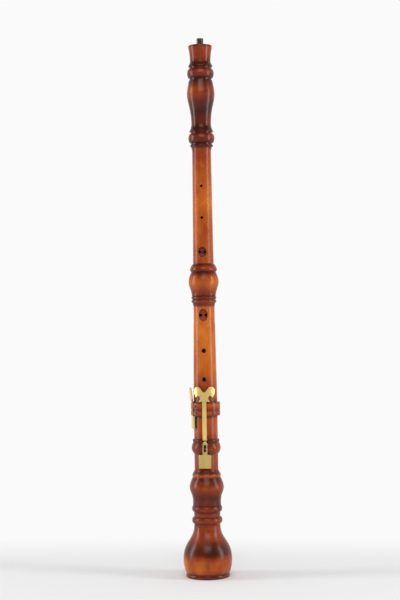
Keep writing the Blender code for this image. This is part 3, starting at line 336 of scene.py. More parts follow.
# Camera: the photograph is 400 x 600 pixels, and a pixel at the body's axis is this long
PICTURE_HEIGHT_PIXELS = 600
PIXEL_LENGTH = 0.0011784
CAMERA_DISTANCE = 1.65
CAMERA_HEIGHT = 0.3255
CAMERA_TURN = math.radians(5.4)
CAMERA_SIDESTEP = 0.0046
CAMERA_ROLL = math.radians(0.89)
SENSOR_HEIGHT = 36.0

# Stage and light
BACKDROP_WHITE = 0.955
FLOOR_GREY = 0.87
FLOOR_MOTTLE = 0.01
FLOOR_HALF_WIDTH = 6.0
FLOOR_FADE_START = 0.06
FLOOR_FADE_END = 0.28
FLOOR_RADIUS_START = 0.45
FLOOR_RADIUS_END = 1.20
WORLD_STRENGTH = 0.54
ROOM_STRENGTH = 0.05

# The mirrored surroundings turn from the dark room to the white backdrop between these directions along Y
ROOM_EDGE = -0.2
BACKDROP_EDGE = 0.6

# Lamps: name, place, width, height and power, all aimed at one height on the instrument
LAMP_AIM = (0, 0, 0.32)
LAMPS = (
    ("left_softbox", (-1.50, -0.22, 0.45), 0.35, 1.50, 15.0),
    ("right_softbox", (1.48, -0.35, 0.45), 0.35, 1.50, 15.0),
    ("front_fill", (0.15, -1.62, 1.40), 1.20, 0.80, 12.0),
)

# Boxwood colours from pale to dark, for the stain and for the painted shade
WOOD_GOLD = (0.58, 0.168, 0.014)
WOOD_ORANGE = (0.44, 0.094, 0.005)
WOOD_RUST = (0.26, 0.035, 0.0025)
WOOD_BROWN = (0.110, 0.012, 0.0015)
WOOD_UMBER = (0.032, 0.005, 0.0015)

# How dark the stain is at heights in millimetres, from 0 pale to 1 dark; the bands also hold painted shade in
# grooves and under beads and waists, and painted highlights on bead crests
BELL_STAIN_AND_SHADE = ((126, .6), (122.5, .75), (120, .3), (118, .35), (116.5, .8), (112, .6), (105.5, .45), (99, .65),
              (93, .85), (89, .75), (84.5, .8), (80.3, .6), (76, .7), (73, .5), (70.5, .65), (66.7, .5),
              (62.5, .65), (58, .5), (50, .5), (44, .6), (36, .84), (30, .8), (25, .5), (20, .31),
              (12, .27), (7, .37), (4.2, .85), (2, .6), (0, .85))
MIDDLE_STAIN_AND_SHADE = ((366.5, .8), (364.1, .5), (360.6, .6), (358.2, .9), (353.5, .45), (347.6, .3), (340.6, .38),
                (332.3, .7), (326.4, .75), (324, .6), (319.3, .75), (317, .3), (307.6, .18), (278, .14),
                (242.7, .3), (225, .4), (211, .4), (206.2, .7), (202.7, .3), (196.8, .6), (193.3, .33),
                (189, .65), (186.2, .35), (172, .3), (163.8, .45), (160.3, .75), (156.7, .6), (150.8, .55),
                (146.1, .65), (141.4, .5), (125, .55))
TOP_STAIN_AND_SHADE = ((624.6, .8), (622, .5), (610, .5), (605.7, .7), (603.3, .9), (599.8, .85), (592.7, .5),
             (586.8, .85), (583.3, .9), (579.8, .7), (572.7, .45), (565.6, .5), (557.4, .85), (546.8, .95),
             (538.5, .7), (532.6, .65), (529.1, .9), (524.4, .85), (520.9, .6), (516.1, .5), (511.4, .8),
             (505.5, .85), (502, .45), (490, .4), (472.5, .33), (443, .29), (396, .31), (370, .45))

# A dish's stain and painted shade are only on the front, fading between these places along Y
DISH_FRONT = (-0.006, -0.003)

# Brass
BRASS_DEEP = (0.73, 0.49, 0.14)
BRASS_PALE = (0.93, 0.71, 0.28)
BRASS_SPOT = (0.30, 0.19, 0.07)

# Cutters and unions that are removed once every piece is settled
GUIDES = []


class Outline:
    """Half section of a turned piece as (radius, height) points: down the outside, then up the bore."""

    def __init__(self, radius, height):
        self.points = [(radius, height)]

    def line(self, radius, height):
        self.points.append((radius, height))

    def bend(self, corners, steps):
        """A Bezier curve from the last point through its control corners."""
        cage = [self.points[-1]] + corners
        steps *= CURVE_FINENESS
        for step in range(1, steps + 1):
            t = step / steps
            level = cage
            while len(level) > 1:
                level = [((1 - t) * a[0] + t * b[0], (1 - t) * a[1] + t * b[1])
                         for a, b in zip(level, level[1:])]
            self.points.append(level[0])

    def wave(self, radius, height, steps, leave=0.36, arrive=0.36):
        """An S curve that runs along the axis at both ends."""
        start_radius, start_height = self.points[-1]
        drop = height - start_height
        self.bend([(start_radius, start_height + leave * drop), (radius, height - arrive * drop),
                   (radius, height)], steps)

    def flare(self, radius, height, steps, corner=0.5):
        """A curve that leaves along the axis."""
        start_radius, start_height = self.points[-1]
        self.bend([(start_radius, start_height + corner * (height - start_height)), (radius, height)], steps)

    def arch(self, radius, height, steps, corner=0.5):
        """A curve that arrives along the axis."""
        start_height = self.points[-1][1]
        self.bend([(radius, start_height + corner * (height - start_height)), (radius, height)], steps)

    def bead(self, foot_radius, crest_radius, height, half, steps):
        """A half round ridge between two feet of one radius."""
        self.line(foot_radius, height + half)
        steps *= CURVE_FINENESS
        for step in range(1, 2 * steps):
            angle = math.pi * step / (2 * steps)
            rise = (crest_radius - foot_radius) * math.sin(angle)
            self.line(foot_radius + rise, height + half * math.cos(angle))
        self.line(foot_radius, height - half)

    def tenon(self, radius, length, bore_radius):
        """Two collars with a recess for the lapping between them, hanging below the shoulder."""
        recess = radius - LAPPING_DEPTH
        self.line(radius, 0)
        self.line(radius, -TENON_COLLAR)
        self.line(recess, -TENON_COLLAR)
        self.line(recess, TENON_COLLAR - length)
        self.line(radius, TENON_COLLAR - length)
        self.line(radius, -length)
        self.line(bore_radius, -length)


def add_object(name, mesh_builder, parent=None, place=(0, 0, 0), turn=(0, 0, 0)):
    """Puts a bmesh into the scene as one closed, outward facing object."""
    bmesh.ops.recalc_face_normals(mesh_builder, faces=mesh_builder.faces)
    mesh = bpy.data.meshes.new(name)
    mesh_builder.to_mesh(mesh)
    mesh_builder.free()
    mesh.shade_smooth()
    mesh.set_sharp_from_angle(angle=SHARP_ANGLE)
    made = bpy.data.objects.new(name, mesh)
    bpy.context.scene.collection.objects.link(made)
    made.parent = parent
    made.location = place
    made.rotation_euler = turn
    return made


def add_empty(name, parent=None, place=(0, 0, 0), turn=(0, 0, 0)):
    made = bpy.data.objects.new(name, None)
    bpy.context.scene.collection.objects.link(made)
    made.parent = parent
    made.location = place
    made.rotation_euler = turn
    return made


def turned_mesh(outline, steps=TURNED_STEPS):
    """Spins a closed outline about the axis, with extra rings on its long straight stretches."""
    builder = bmesh.new()
    corners = outline.points
    ring = []
    for (radius, height), (next_radius, next_height) in zip(corners, corners[1:] + corners[:1]):
        parts = max(1, math.ceil(math.hypot(next_radius - radius, next_height - height) / RING_SPACING))
        for part in range(parts):
            share = part / parts
            ring.append(builder.verts.new((radius + share * (next_radius - radius), 0,
                                           height + share * (next_height - height))))
    edges = [builder.edges.new(pair) for pair in zip(ring, ring[1:] + ring[:1])]
    bmesh.ops.spin(builder, geom=ring + edges, cent=(0, 0, 0), axis=(0, 0, 1), angle=math.tau, steps=steps,
                   use_merge=True)
    return builder


def prism_mesh(corners, sweep):
    """Extrudes a flat outline of 3-D corners by the vector sweep."""
    builder = bmesh.new()
    face = builder.faces.new([builder.verts.new(corner) for corner in corners])
    made = bmesh.ops.extrude_face_region(builder, geom=[face])["geom"]
    moved = [item for item in made if isinstance(item, bmesh.types.BMVert)]
    bmesh.ops.translate(builder, verts=moved, vec=sweep)
    return builder


def side_prism(section, width):
    """A section of (offset, height) points in the key's plane, centred across it."""
    corners = [(-width / 2, -offset, height) for offset, height in section]
    return prism_mesh(corners, (width, 0, 0))


def front_prism(outline, near, far):
    """An outline of (across, height) points seen from the front, between two offsets."""
    corners = [(across, -near, height) for across, height in outline]
    return prism_mesh(corners, (0, near - far, 0))


def rectangle(half_width, low, high):
    return [(-half_width, low), (half_width, low), (half_width, high), (-half_width, high)]


def box_section(near, far, low, high):
    return [(near, low), (far, low), (far, high), (near, high)]


def rod_mesh(radius, start, length, turn, steps=SMALL_STEPS):
    """A round rod from start to start + length, turned from +Z by ALONG_X or OUTWARD."""
    builder = bmesh.new()
    middle = Matrix.Translation((0, 0, start + length / 2))
    bmesh.ops.create_cone(builder, cap_ends=True, segments=steps, radius1=radius, radius2=radius,
                          depth=length, matrix=middle)
    bmesh.ops.rotate(builder, cent=(0, 0, 0), matrix=turn, verts=builder.verts)
    return builder


def arc(centre, radius, start, end, steps):
    """Points on a circle, angles in degrees."""
    angles = [math.radians(start + (end - start) * step / steps) for step in range(steps + 1)]
    return [(centre[0] + radius * math.cos(a), centre[1] + radius * math.sin(a)) for a in angles]


def combine(target, other, operation):
    """Cuts, joins or limits target by another object, a guide that is removed later."""
    if other not in GUIDES:
        GUIDES.append(other)
    step = target.modifiers.new(operation.lower() + "_" + other.name, "BOOLEAN")
    step.operation = operation
    step.object = other
    step.solver = "EXACT"


def work(target, operation, name, builder, parent=None, place=(0, 0, 0)):
    """Cuts, joins or limits target by a guide made from a bmesh, placed on target or on another parent."""
    combine(target, add_object(name, builder, parent or target, place), operation)


def lapping(name, parent, radius, length):
    """Waxed thread wound in the tenon's recess."""
    inner = radius - LAPPING_DEPTH + SEAT_GAP
    outer = radius + LAPPING_PROUD
    top = -TENON_COLLAR - SEAT_GAP
    bottom = TENON_COLLAR + SEAT_GAP - length
    pitch = (top - bottom) / LAPPING_RIDGES
    outline = Outline(inner, top)
    for ridge in range(LAPPING_RIDGES):
        outline.line(outer - LAPPING_RIDGE, top - ridge * pitch)
        outline.line(outer, top - (ridge + 0.5) * pitch)
    outline.line(outer - LAPPING_RIDGE, bottom)
    outline.line(inner, bottom)
    return add_object(name, turned_mesh(outline), parent)


def make_bell():
    outline = Outline(BELL_SOCKET_RADIUS, BELL_HEIGHT)
    outline.line(BELL_RIM_RADIUS, BELL_HEIGHT)
    outline.wave(BELL_RING_RADIUS, BELL_RING_HEIGHT, 3, 0.3, 0.3)
    outline.flare(BELL_RING_GROOVE, BELL_RING_HEIGHT - BELL_RING_HALF, 1)
    outline.arch(BELL_SWELL_RADIUS, BELL_SWELL_HEIGHT, 4, 0.67)
    outline.wave(BELL_FILLET_RADIUS, BELL_FILLET_HEIGHT, 5, 0.35, 0.55)
    outline.line(BELL_FILLET_RADIUS, UPPER_BEAD_HEIGHT + BELL_BEAD_HALF)
    outline.bead(BELL_WAIST_RADIUS, UPPER_BEAD_RADIUS, UPPER_BEAD_HEIGHT, BELL_BEAD_HALF, 3)
    outline.bead(BELL_WAIST_RADIUS, LOWER_BEAD_RADIUS, LOWER_BEAD_HEIGHT, BELL_BEAD_HALF, 3)
    outline.line(BELL_WAIST_RADIUS, BULB_START_HEIGHT)
    outline.wave(BULB_RADIUS, BULB_HEIGHT, 9, 0.45, 0.53)
    outline.flare(LIP_GROOVE_RADIUS, LIP_GROOVE_HEIGHT, 4)
    outline.arch(LIP_RADIUS, LIP_HEIGHT, 1)
    outline.flare(FOOT_RADIUS, 0, 2, 0.8)
    outline.line(BELL_MOUTH_RADIUS + EDGE_ROUND, 0)
    outline.arch(BELL_MOUTH_RADIUS, EDGE_ROUND, 1)
    outline.line(BELL_MOUTH_RADIUS, BELL_MOUTH_LENGTH)
    outline.wave(BELL_CAVITY_RADIUS, BELL_CAVITY_HEIGHT, 4, 0.1, 0.6)
    outline.wave(BELL_BORE_RADIUS, BELL_THROAT_HEIGHT, 6, 0.5, 0.45)
    outline.line(BELL_BORE_RADIUS, BELL_SOCKET_FLOOR)
    outline.line(BELL_SOCKET_RADIUS, BELL_SOCKET_FLOOR)
    return add_object("bell_turning", turned_mesh(outline))


def make_middle_joint():
    def below(depth):
        return MIDDLE_LENGTH - depth

    outline = Outline(MIDDLE_SOCKET_RADIUS, MIDDLE_LENGTH)
    outline.line(SOCKET_RIM_RADIUS, MIDDLE_LENGTH)
    outline.arch(SOCKET_RING_RADIUS, below(SOCKET_RING_DEPTH), 3, 0.6)
    outline.flare(SOCKET_GROOVE_RADIUS, below(SOCKET_GROOVE_DEPTH), 2)
    outline.arch(SOCKET_BULB_RADIUS, below(SOCKET_BULB_DEPTH), 4, 0.57)
    outline.wave(SOCKET_NECK_RADIUS, below(SOCKET_NECK_DEPTH), 5)
    for side in (1, -1):
        middle = below(TWIN_BEAD_DEPTH) + side * TWIN_BEAD_HALF
        outline.bead(TWIN_BEAD_FOOT_RADIUS, TWIN_BEAD_RADIUS, middle + side * SEAT_GAP, TWIN_BEAD_HALF, 2)
    outline.arch(MIDDLE_WAIST_RADIUS, below(MIDDLE_WAIST_DEPTH), 2)
    outline.line(MIDDLE_WAIST_RADIUS, below(MIDDLE_WAIST_DEPTH + MIDDLE_WAIST_LENGTH))
    outline.wave(MIDDLE_TUBE_START_RADIUS, below(MIDDLE_TUBE_START_DEPTH), 2)
    outline.line(KEY_TUBE_RADIUS, RING_TOP)
    outline.line(DOUBLE_RING_RADIUS - RING_ROUND, RING_TOP)
    outline.arch(DOUBLE_RING_RADIUS, RING_TOP - RING_ROUND, 2, 0)
    outline.line(DOUBLE_RING_RADIUS, DOUBLE_RING_HEIGHT + HALF_GROOVE)
    outline.line(DOUBLE_RING_RADIUS - RING_GROOVE_DEPTH, DOUBLE_RING_HEIGHT + HALF_GROOVE)
    outline.line(DOUBLE_RING_RADIUS - RING_GROOVE_DEPTH, DOUBLE_RING_HEIGHT - HALF_GROOVE)
    outline.line(DOUBLE_RING_RADIUS, DOUBLE_RING_HEIGHT - HALF_GROOVE)
    outline.line(DOUBLE_RING_RADIUS, RING_FOOT + RING_ROUND)
    outline.flare(DOUBLE_RING_RADIUS - RING_ROUND, RING_FOOT, 2, 1)
    outline.line(KEY_TUBE_RADIUS, RING_FOOT)
    bulge_top = BULGE_HEIGHT + BULGE_HALF
    outline.line(KEY_TUBE_RADIUS, bulge_top + 2 * TUBE_BEAD_HALF)
    outline.arch(TUBE_BEAD_RADIUS, bulge_top + TUBE_BEAD_HALF, 2, 0.3)
    outline.flare(BULGE_TOP_RADIUS, bulge_top, 2, 0.7)
    outline.arch(BULGE_RADIUS, BULGE_HEIGHT, 3)
    outline.flare(KEY_TUBE_RADIUS, BULGE_HEIGHT - BULGE_HALF, 3)
    outline.line(KEY_TUBE_RADIUS, 0)
    outline.tenon(MIDDLE_TENON_RADIUS, MIDDLE_TENON_LENGTH, MIDDLE_BORE_END_RADIUS)
    outline.line(MIDDLE_BORE_START_RADIUS, MIDDLE_SOCKET_FLOOR)
    outline.line(MIDDLE_SOCKET_RADIUS, MIDDLE_SOCKET_FLOOR)
    joint = add_object("middle_turning", turned_mesh(outline), place=(0, 0, MIDDLE_SHOULDER))
    dish_finger_holes(joint, "dish_4", MIDDLE_WAIST_RADIUS, HOLE_4_HEIGHT, DISH_4_WIDTH, DISH_4_HEIGHT)
    drill_pair(joint, "hole_4", HOLE_4_HEIGHT, HOLE_4_RADIUS)
    drill(joint, "hole_5", HOLE_5_HEIGHT, HOLE_5_RADIUS)
    drill(joint, "hole_6", HOLE_6_HEIGHT, HOLE_6_RADIUS)
    return joint


def make_top_joint():
    def below(depth):
        return TOP_LENGTH - depth

    outline = Outline(CROOK_WELL_RADIUS, TOP_LENGTH)
    outline.line(FINIAL_RIM_RADIUS - EDGE_ROUND, TOP_LENGTH)
    outline.arch(FINIAL_RIM_RADIUS, below(EDGE_ROUND), 1)
    outline.line(FINIAL_RIM_RADIUS, below(FINIAL_RIM_HEIGHT))
    outline.arch(FINIAL_NECK_RADIUS, below(FINIAL_NECK_DEPTH), 4)
    outline.flare(FINIAL_EDGE_RADIUS, below(FINIAL_EDGE_DEPTH), 2, 0.25)
    outline.line(FINIAL_EDGE_RADIUS, below(FINIAL_EDGE_DEPTH + FILLET_HEIGHT))
    outline.line(FINIAL_GROOVE_RADIUS, below(FINIAL_EDGE_DEPTH + FILLET_HEIGHT))
    outline.bead(FINIAL_GROOVE_RADIUS, FINIAL_BEAD_RADIUS, below(FINIAL_BEAD_DEPTH), FINIAL_BEAD_HALF, 3)
    outline.line(FINIAL_GROOVE_RADIUS, below(BALUSTER_TOP_DEPTH))
    outline.line(BALUSTER_TOP_RADIUS, below(BALUSTER_TOP_DEPTH))
    outline.arch(BALUSTER_RADIUS, below(BALUSTER_DEPTH), 4, 0.75)
    outline.wave(BALUSTER_WAIST_RADIUS, below(BALUSTER_WAIST_DEPTH), 7, 0.30, 0.54)
    outline.flare(COLLAR_EDGE_RADIUS, below(COLLAR_EDGE_DEPTH), 4)
    outline.line(COLLAR_EDGE_RADIUS, below(COLLAR_EDGE_DEPTH + FILLET_HEIGHT))
    outline.line(COLLAR_GROOVE_RADIUS, below(COLLAR_EDGE_DEPTH + FILLET_HEIGHT))
    outline.bead(COLLAR_GROOVE_RADIUS, COLLAR_BEAD_RADIUS, below(COLLAR_BEAD_DEPTH), COLLAR_BEAD_HALF, 3)
    outline.bead(COLLAR_GROOVE_RADIUS, ASTRAGAL_RADIUS, below(ASTRAGAL_DEPTH), ASTRAGAL_HALF, 2)
    outline.arch(TOP_TUBE_START_RADIUS, below(TOP_TUBE_START_DEPTH), 3)
    outline.line(TOP_TUBE_END_RADIUS, 0)
    outline.tenon(TOP_TENON_RADIUS, TOP_TENON_LENGTH, TOP_BORE_END_RADIUS)
    outline.line(BORE_TOP_RADIUS, CROOK_WELL_FLOOR)
    outline.line(CROOK_WELL_RADIUS, CROOK_WELL_FLOOR)
    joint = add_object("top_turning", turned_mesh(outline), place=(0, 0, TOP_SHOULDER))
    drill(joint, "hole_1", HOLE_1_HEIGHT, HOLE_1_RADIUS)
    drill(joint, "hole_2", HOLE_2_HEIGHT, HOLE_2_RADIUS)
    dish_finger_holes(joint, "dish_3", TOP_TUBE_END_RADIUS, HOLE_3_HEIGHT, DISH_3_WIDTH, DISH_3_HEIGHT)
    drill_pair(joint, "hole_3", HOLE_3_HEIGHT, HOLE_3_RADIUS)
    return joint


def drill(joint, name, height, radius, across=0.0, parent=None):
    """A finger or tone hole from the bore out through the front wall."""
    work(joint, "DIFFERENCE", name, rod_mesh(radius, 0, OUTSIDE, OUTWARD), parent, (across, 0, height))


def drill_pair(joint, name, height, radius):
    for side, label in ((-1, "_left"), (1, "_right")):
        drill(joint, name + label, height, radius, side * TWIN_HOLE_SPACING / 2)


def dish_finger_holes(joint, name, tube_radius, height, width, tall):
    """Scoops an oval hollow, of the given width and height on the tube, round a pair of finger holes."""
    lift = DISH_DEPTH / 4
    reach = DISH_DEPTH + lift
    fall = tube_radius - math.sqrt(tube_radius ** 2 - (width / 2) ** 2)
    half_tall = (tall / 2) / math.sqrt(1 - (lift / reach) ** 2)
    half_wide = (width / 2) / math.sqrt(1 - (min(fall + lift, 0.9 * reach) / reach) ** 2)
    builder = bmesh.new()
    bmesh.ops.create_uvsphere(builder, u_segments=DISH_STEPS, v_segments=DISH_STEPS // 2, radius=1)
    bmesh.ops.scale(builder, vec=(half_wide, reach, half_tall), verts=builder.verts)
    work(joint, "DIFFERENCE", name, builder, place=(0, -tube_radius - lift, height))


def cut_channel(joint, name, parent, width, section):
    work(joint, "DIFFERENCE", name, side_prism(section, width), parent)


def cut_pin_hole(joint, name, parent, height):
    hole = rod_mesh(PIN_HOLE_RADIUS, -OUTSIDE, 2 * OUTSIDE, ALONG_X)
    work(joint, "DIFFERENCE", name, hole, parent, (0, -PIN_OFFSET, height))


def cut_seat(joint, name, parent, offset, low, high):
    """A flat on the tube for a pad to close on."""
    work(joint, "DIFFERENCE", name, side_prism(box_section(offset, OUTSIDE, low, high), OUTSIDE), parent)


def add_pin(name, parent, height, ring_radius):
    """A pivot pin whose ends stop inside the ring's facets."""
    flat = ring_radius * math.cos(math.pi / TURNED_STEPS)
    reach = math.sqrt(flat ** 2 - (PIN_OFFSET + PIN_RADIUS) ** 2)
    return add_object(name, rod_mesh(PIN_RADIUS, -reach, 2 * reach, ALONG_X),
                      parent, (0, -PIN_OFFSET, height))


def channel_section(low, high, floor, pin):
    """Side section of a channel with a deeper pocket under the pivot."""
    return [(OUTSIDE, low), (floor, low), (floor, pin - POCKET_HALF), (POCKET_FLOOR, pin - POCKET_HALF),
            (POCKET_FLOOR, pin + POCKET_HALF), (floor, pin + POCKET_HALF), (floor, high), (OUTSIDE, high)]


def around_pin(section, pin):
    """Moves a section of (offset, height) points to a key's own origin on its pin."""
    return [(offset - PIN_OFFSET, height - pin) for offset, height in section]


def lug(low):
    """The round boss below a key at its pin, from above the pin to below it, in the key's own frame."""
    start = math.degrees(math.acos(max(-0.9, min(0.9, low / LUG_RADIUS))))
    return arc((0, 0), LUG_RADIUS, start, 360 - start, 8)


def fishtail():
    """Front outline of the great key's touch, heights above its barbs."""
    lobe = (FISHTAIL_HALF_WIDTH - LOBE_RADIUS, FISHTAIL_HEIGHT - LOBE_RADIUS)
    notch = FISHTAIL_HEIGHT - NOTCH_DEPTH
    half = [(NOTCH_SPIKE * 0.75, notch)]
    half += arc(lobe, LOBE_RADIUS, 152, 0, 9)
    half.append((FISHTAIL_HALF_WIDTH * 0.985, (lobe[1] + WING_TIP_HEIGHT) / 2))
    half.append((WING_TIP_OFFSET, WING_TIP_HEIGHT))
    half += arc((CRESCENT_OFFSET, CRESCENT_HEIGHT), CRESCENT_RADIUS, 15, 205, 7)
    half.append((FISHTAIL_WAIST, CRESCENT_HEIGHT - 0.75 * CRESCENT_RADIUS))
    half.append((FISHTAIL_BARB, 0))
    half.append((SHANK_WIDTH / 2, CRESCENT_RADIUS / 2))
    mirrored = [(-across, height) for across, height in reversed(half)]
    return [(0, notch + NOTCH_SPIKE)] + half + mirrored


def curved_blank(low, high, base, top, half_turn):
    """Part of a tube about the body's axis, in the frame of a pin at PIN_OFFSET."""
    builder = bmesh.new()
    corners = [(0, PIN_OFFSET - radius, height) for radius, height in box_section(low, high, base, top)]
    face = builder.faces.new([builder.verts.new(corner) for corner in corners])
    axis = (0, PIN_OFFSET, 0)
    bmesh.ops.rotate(builder, cent=axis, verts=builder.verts, matrix=Matrix.Rotation(-half_turn, 3, "Z"))
    bmesh.ops.spin(builder, geom=[face], cent=axis, axis=(0, 0, 1), angle=2 * half_turn, steps=SMALL_STEPS)
    return builder


def shank_section():
    """Side of the touch lever from the fishtail, over the pin, to the nose bent down into the channel."""
    bend = NOSE_END + NOSE_LENGTH
    buried = TOUCH_LOW + TOUCH_THICKNESS / 3
    inside = TOUCH_BASE + CRESCENT_HEIGHT / 2
    tip = HOOK_BOTTOM + HOOK_THICKNESS / 4
    outer = [(SHANK_HIGH, inside), (SHANK_HIGH, bend),
             (SHANK_HIGH - 0.13 * NOSE_LENGTH, bend - 0.40 * NOSE_LENGTH),
             (SHANK_HIGH - 0.45 * NOSE_LENGTH, bend - 0.75 * NOSE_LENGTH),
             (BAR_OFFSET, NOSE_END + NOSE_LENGTH / 10), (tip, NOSE_END)]
    inner = [(tip, NOSE_END + NOSE_THICKNESS), (BAR_OFFSET, NOSE_END + 1.3 * NOSE_THICKNESS),
             (SHANK_LOW, bend)]
    boss = list(reversed(lug(SHANK_LOW - PIN_OFFSET)))
    under = [(SHANK_LOW, TOUCH_BASE), (buried, TOUCH_BASE + CRESCENT_HEIGHT / 4), (buried, inside)]
    pin = TOUCH_PIN_HEIGHT
    return around_pin(outer, pin) + around_pin(inner, pin) + boss + around_pin(under, pin)


def hook_section():
    """The tongue under the eye's bar, curling up and back over it."""
    curl = BAR_HEIGHT - EYE_BAR_RADIUS - HOOK_PLAY
    back = curl - HOOK_THICKNESS
    root = NOSE_END + NOSE_THICKNESS / 2
    soft = 0.35 * HOOK_THICKNESS
    return around_pin([
        (HOOK_BOTTOM, root), (HOOK_BOTTOM, back + soft), (HOOK_BOTTOM + soft, back), (HOOK_LIP + soft, back),
        (HOOK_LIP + HOOK_THICKNESS, curl), (HOOK_LIP + HOOK_THICKNESS, BAR_HEIGHT),
        (HOOK_LIP + 2 * soft, BAR_HEIGHT + EYE_BAR_RADIUS), (HOOK_LIP, BAR_HEIGHT + EYE_BAR_RADIUS / 2),
        (HOOK_LIP, curl + soft), (HOOK_LIP - soft, curl), (HOOK_TOP + soft, curl), (HOOK_TOP, curl + soft),
        (HOOK_TOP, root)], TOUCH_PIN_HEIGHT)


def bore_pin_hole(key, width):
    work(key, "DIFFERENCE", key.name + "_pin_hole", rod_mesh(PIN_HOLE_RADIUS, -width, 2 * width, ALONG_X))


def make_great_touch():
    """Fishtail, shank and hook of the front key, with its origin on its pin."""
    base = TOUCH_BASE - TOUCH_PIN_HEIGHT
    half_turn = math.asin(min(0.95, FISHTAIL_HALF_WIDTH / TOUCH_LOW)) + math.radians(5)
    top = base + FISHTAIL_HEIGHT + SHANK_WIDTH
    blank = curved_blank(TOUCH_LOW, TOUCH_HIGH, base - SHANK_WIDTH, top, half_turn)
    touch = add_object("great_touch_lever", blank, place=(0, -PIN_OFFSET, TOUCH_PIN_HEIGHT))
    outline = [(across, base + height) for across, height in fishtail()]
    work(touch, "INTERSECT", "fishtail_outline", front_prism(outline, -PIN_OFFSET, OUTSIDE))
    work(touch, "UNION", "great_key_shank", side_prism(shank_section(), SHANK_WIDTH))
    work(touch, "UNION", "great_key_hook", side_prism(hook_section(), HOOK_WIDTH))
    bore_pin_hole(touch, SHANK_WIDTH)
    return touch


def make_great_flap():
    """Square flap, neck, fork and eye, modelled closed about its pin and then opened."""
    low = FLAP_LOW - PIN_OFFSET
    high = FLAP_HIGH - PIN_OFFSET
    foot = -FLAP_NECK_LENGTH - FLAP_LENGTH
    section = [(high, foot), (high, EYE_BAR_REACH)]
    section += arc((BAR_RISE, EYE_BAR_REACH), EYE_BAR_RADIUS, 0, 180, 6)[1:]
    section += lug(low)
    section.append((low, foot))
    flap = add_object("great_flap_lever", side_prism(section, FLAP_WIDTH + FORK_WIDTH),
                      place=(0, -PIN_OFFSET, FLAP_PIN_HEIGHT), turn=(-FLAP_OPEN_ANGLE, 0, 0))
    half_fork = FORK_WIDTH / 2
    shoulder = EYE_BAR_REACH - 1.5 * EYE_BAR_RADIUS
    tip = EYE_BAR_RADIUS * 2.7
    half = [(FLAP_WIDTH / 2, foot - FLAP_WIDTH), (FLAP_WIDTH / 2, -FLAP_NECK_LENGTH),
            (half_fork, -FLAP_NECK_LENGTH)]
    half += [(across, shoulder + tip * rise / half_fork) for across, rise in arc((0, 0), half_fork, 0, 75, 5)]
    outline = half + [(-across, height) for across, height in reversed(half)]
    # The outline runs past the flap's foot, which the section already cuts
    work(flap, "INTERSECT", "flap_outline", front_prism(outline, -OUTSIDE, OUTSIDE))
    slot = rectangle(half_fork - FORK_PRONG, -FORK_ROOT, EYE_BAR_REACH - 0.7 * EYE_BAR_RADIUS)
    work(flap, "DIFFERENCE", "fork_slot", front_prism(slot, -OUTSIDE, OUTSIDE))
    bore_pin_hole(flap, FORK_WIDTH)
    return flap


def add_pad(name, key, low, width, foot, top):
    """A leather pad under a flap, given in the key's own frame."""
    section = box_section(low - SEAT_GAP - PAD_THICKNESS, low - SEAT_GAP, foot + PAD_MARGIN, top - PAD_MARGIN)
    return add_object(name, side_prism(section, width - 2 * PAD_MARGIN), key)


def e_flat_touch_low(height):
    """The underside of the E flat touch, which leans outward towards its end."""
    share = (height - TOUCH_BASE) / E_FLAT_TOUCH_LENGTH
    return KEY_TUBE_RADIUS + E_FLAT_TOUCH_LIFT + E_FLAT_TOUCH_RISE * share


def make_e_flat_key(side):
    """Flap, shank and touch of the side key, with its origin on its pin."""
    pin = E_FLAT_PIN_HEIGHT
    foot = E_FLAT_FLAP_TOP - E_FLAT_FLAP_LENGTH
    end = TOUCH_BASE + E_FLAT_TOUCH_LENGTH
    shank_high = E_FLAT_LOW + E_FLAT_SHANK_THICKNESS
    flap_high = E_FLAT_LOW + E_FLAT_FLAP_THICKNESS
    step = E_FLAT_TOUCH_LIFT / 2
    root_low = e_flat_touch_low(TOUCH_BASE)
    end_low = e_flat_touch_low(end)
    # Beside the ring the underside stands off a little more, to clear the tube when the key is pressed
    outer = [(flap_high, foot), (flap_high, E_FLAT_FLAP_TOP), (shank_high, E_FLAT_FLAP_TOP + step),
             (shank_high, TOUCH_BASE - step), (root_low + E_FLAT_TOUCH_THICKNESS, TOUCH_BASE + step),
             (end_low + E_FLAT_TOUCH_THICKNESS, end), (end_low, end), (root_low, TOUCH_BASE + 1.5 * step),
             (E_FLAT_LOW + SEAT_GAP, TOUCH_BASE)]
    section = around_pin(outer, pin) + lug(E_FLAT_LOW - PIN_OFFSET) + around_pin([(E_FLAT_LOW, foot)], pin)
    key = add_object("e_flat_lever", side_prism(section, 2 * E_FLAT_FLAP_WIDTH), side, (0, -PIN_OFFSET, pin))
    half_touch = E_FLAT_TOUCH_WIDTH / 2
    half = [(E_FLAT_FLAP_WIDTH / 2, foot - E_FLAT_FLAP_WIDTH), (E_FLAT_FLAP_WIDTH / 2, E_FLAT_FLAP_TOP),
            (E_FLAT_SHANK_WIDTH / 2, E_FLAT_FLAP_TOP), (E_FLAT_SHANK_WIDTH / 2, TOUCH_BASE + step),
            (0.85 * half_touch, TOUCH_BASE + 2 * step), (half_touch, TOUCH_BASE + 4 * step)]
    half += arc((0, end - half_touch), half_touch, 0, 80, 6)
    outline = half + [(-across, height) for across, height in reversed(half)]
    outline = [(across, height - pin) for across, height in outline]
    work(key, "INTERSECT", "e_flat_outline", front_prism(outline, -OUTSIDE, OUTSIDE))
    bore_pin_hole(key, E_FLAT_FLAP_WIDTH)
    return key


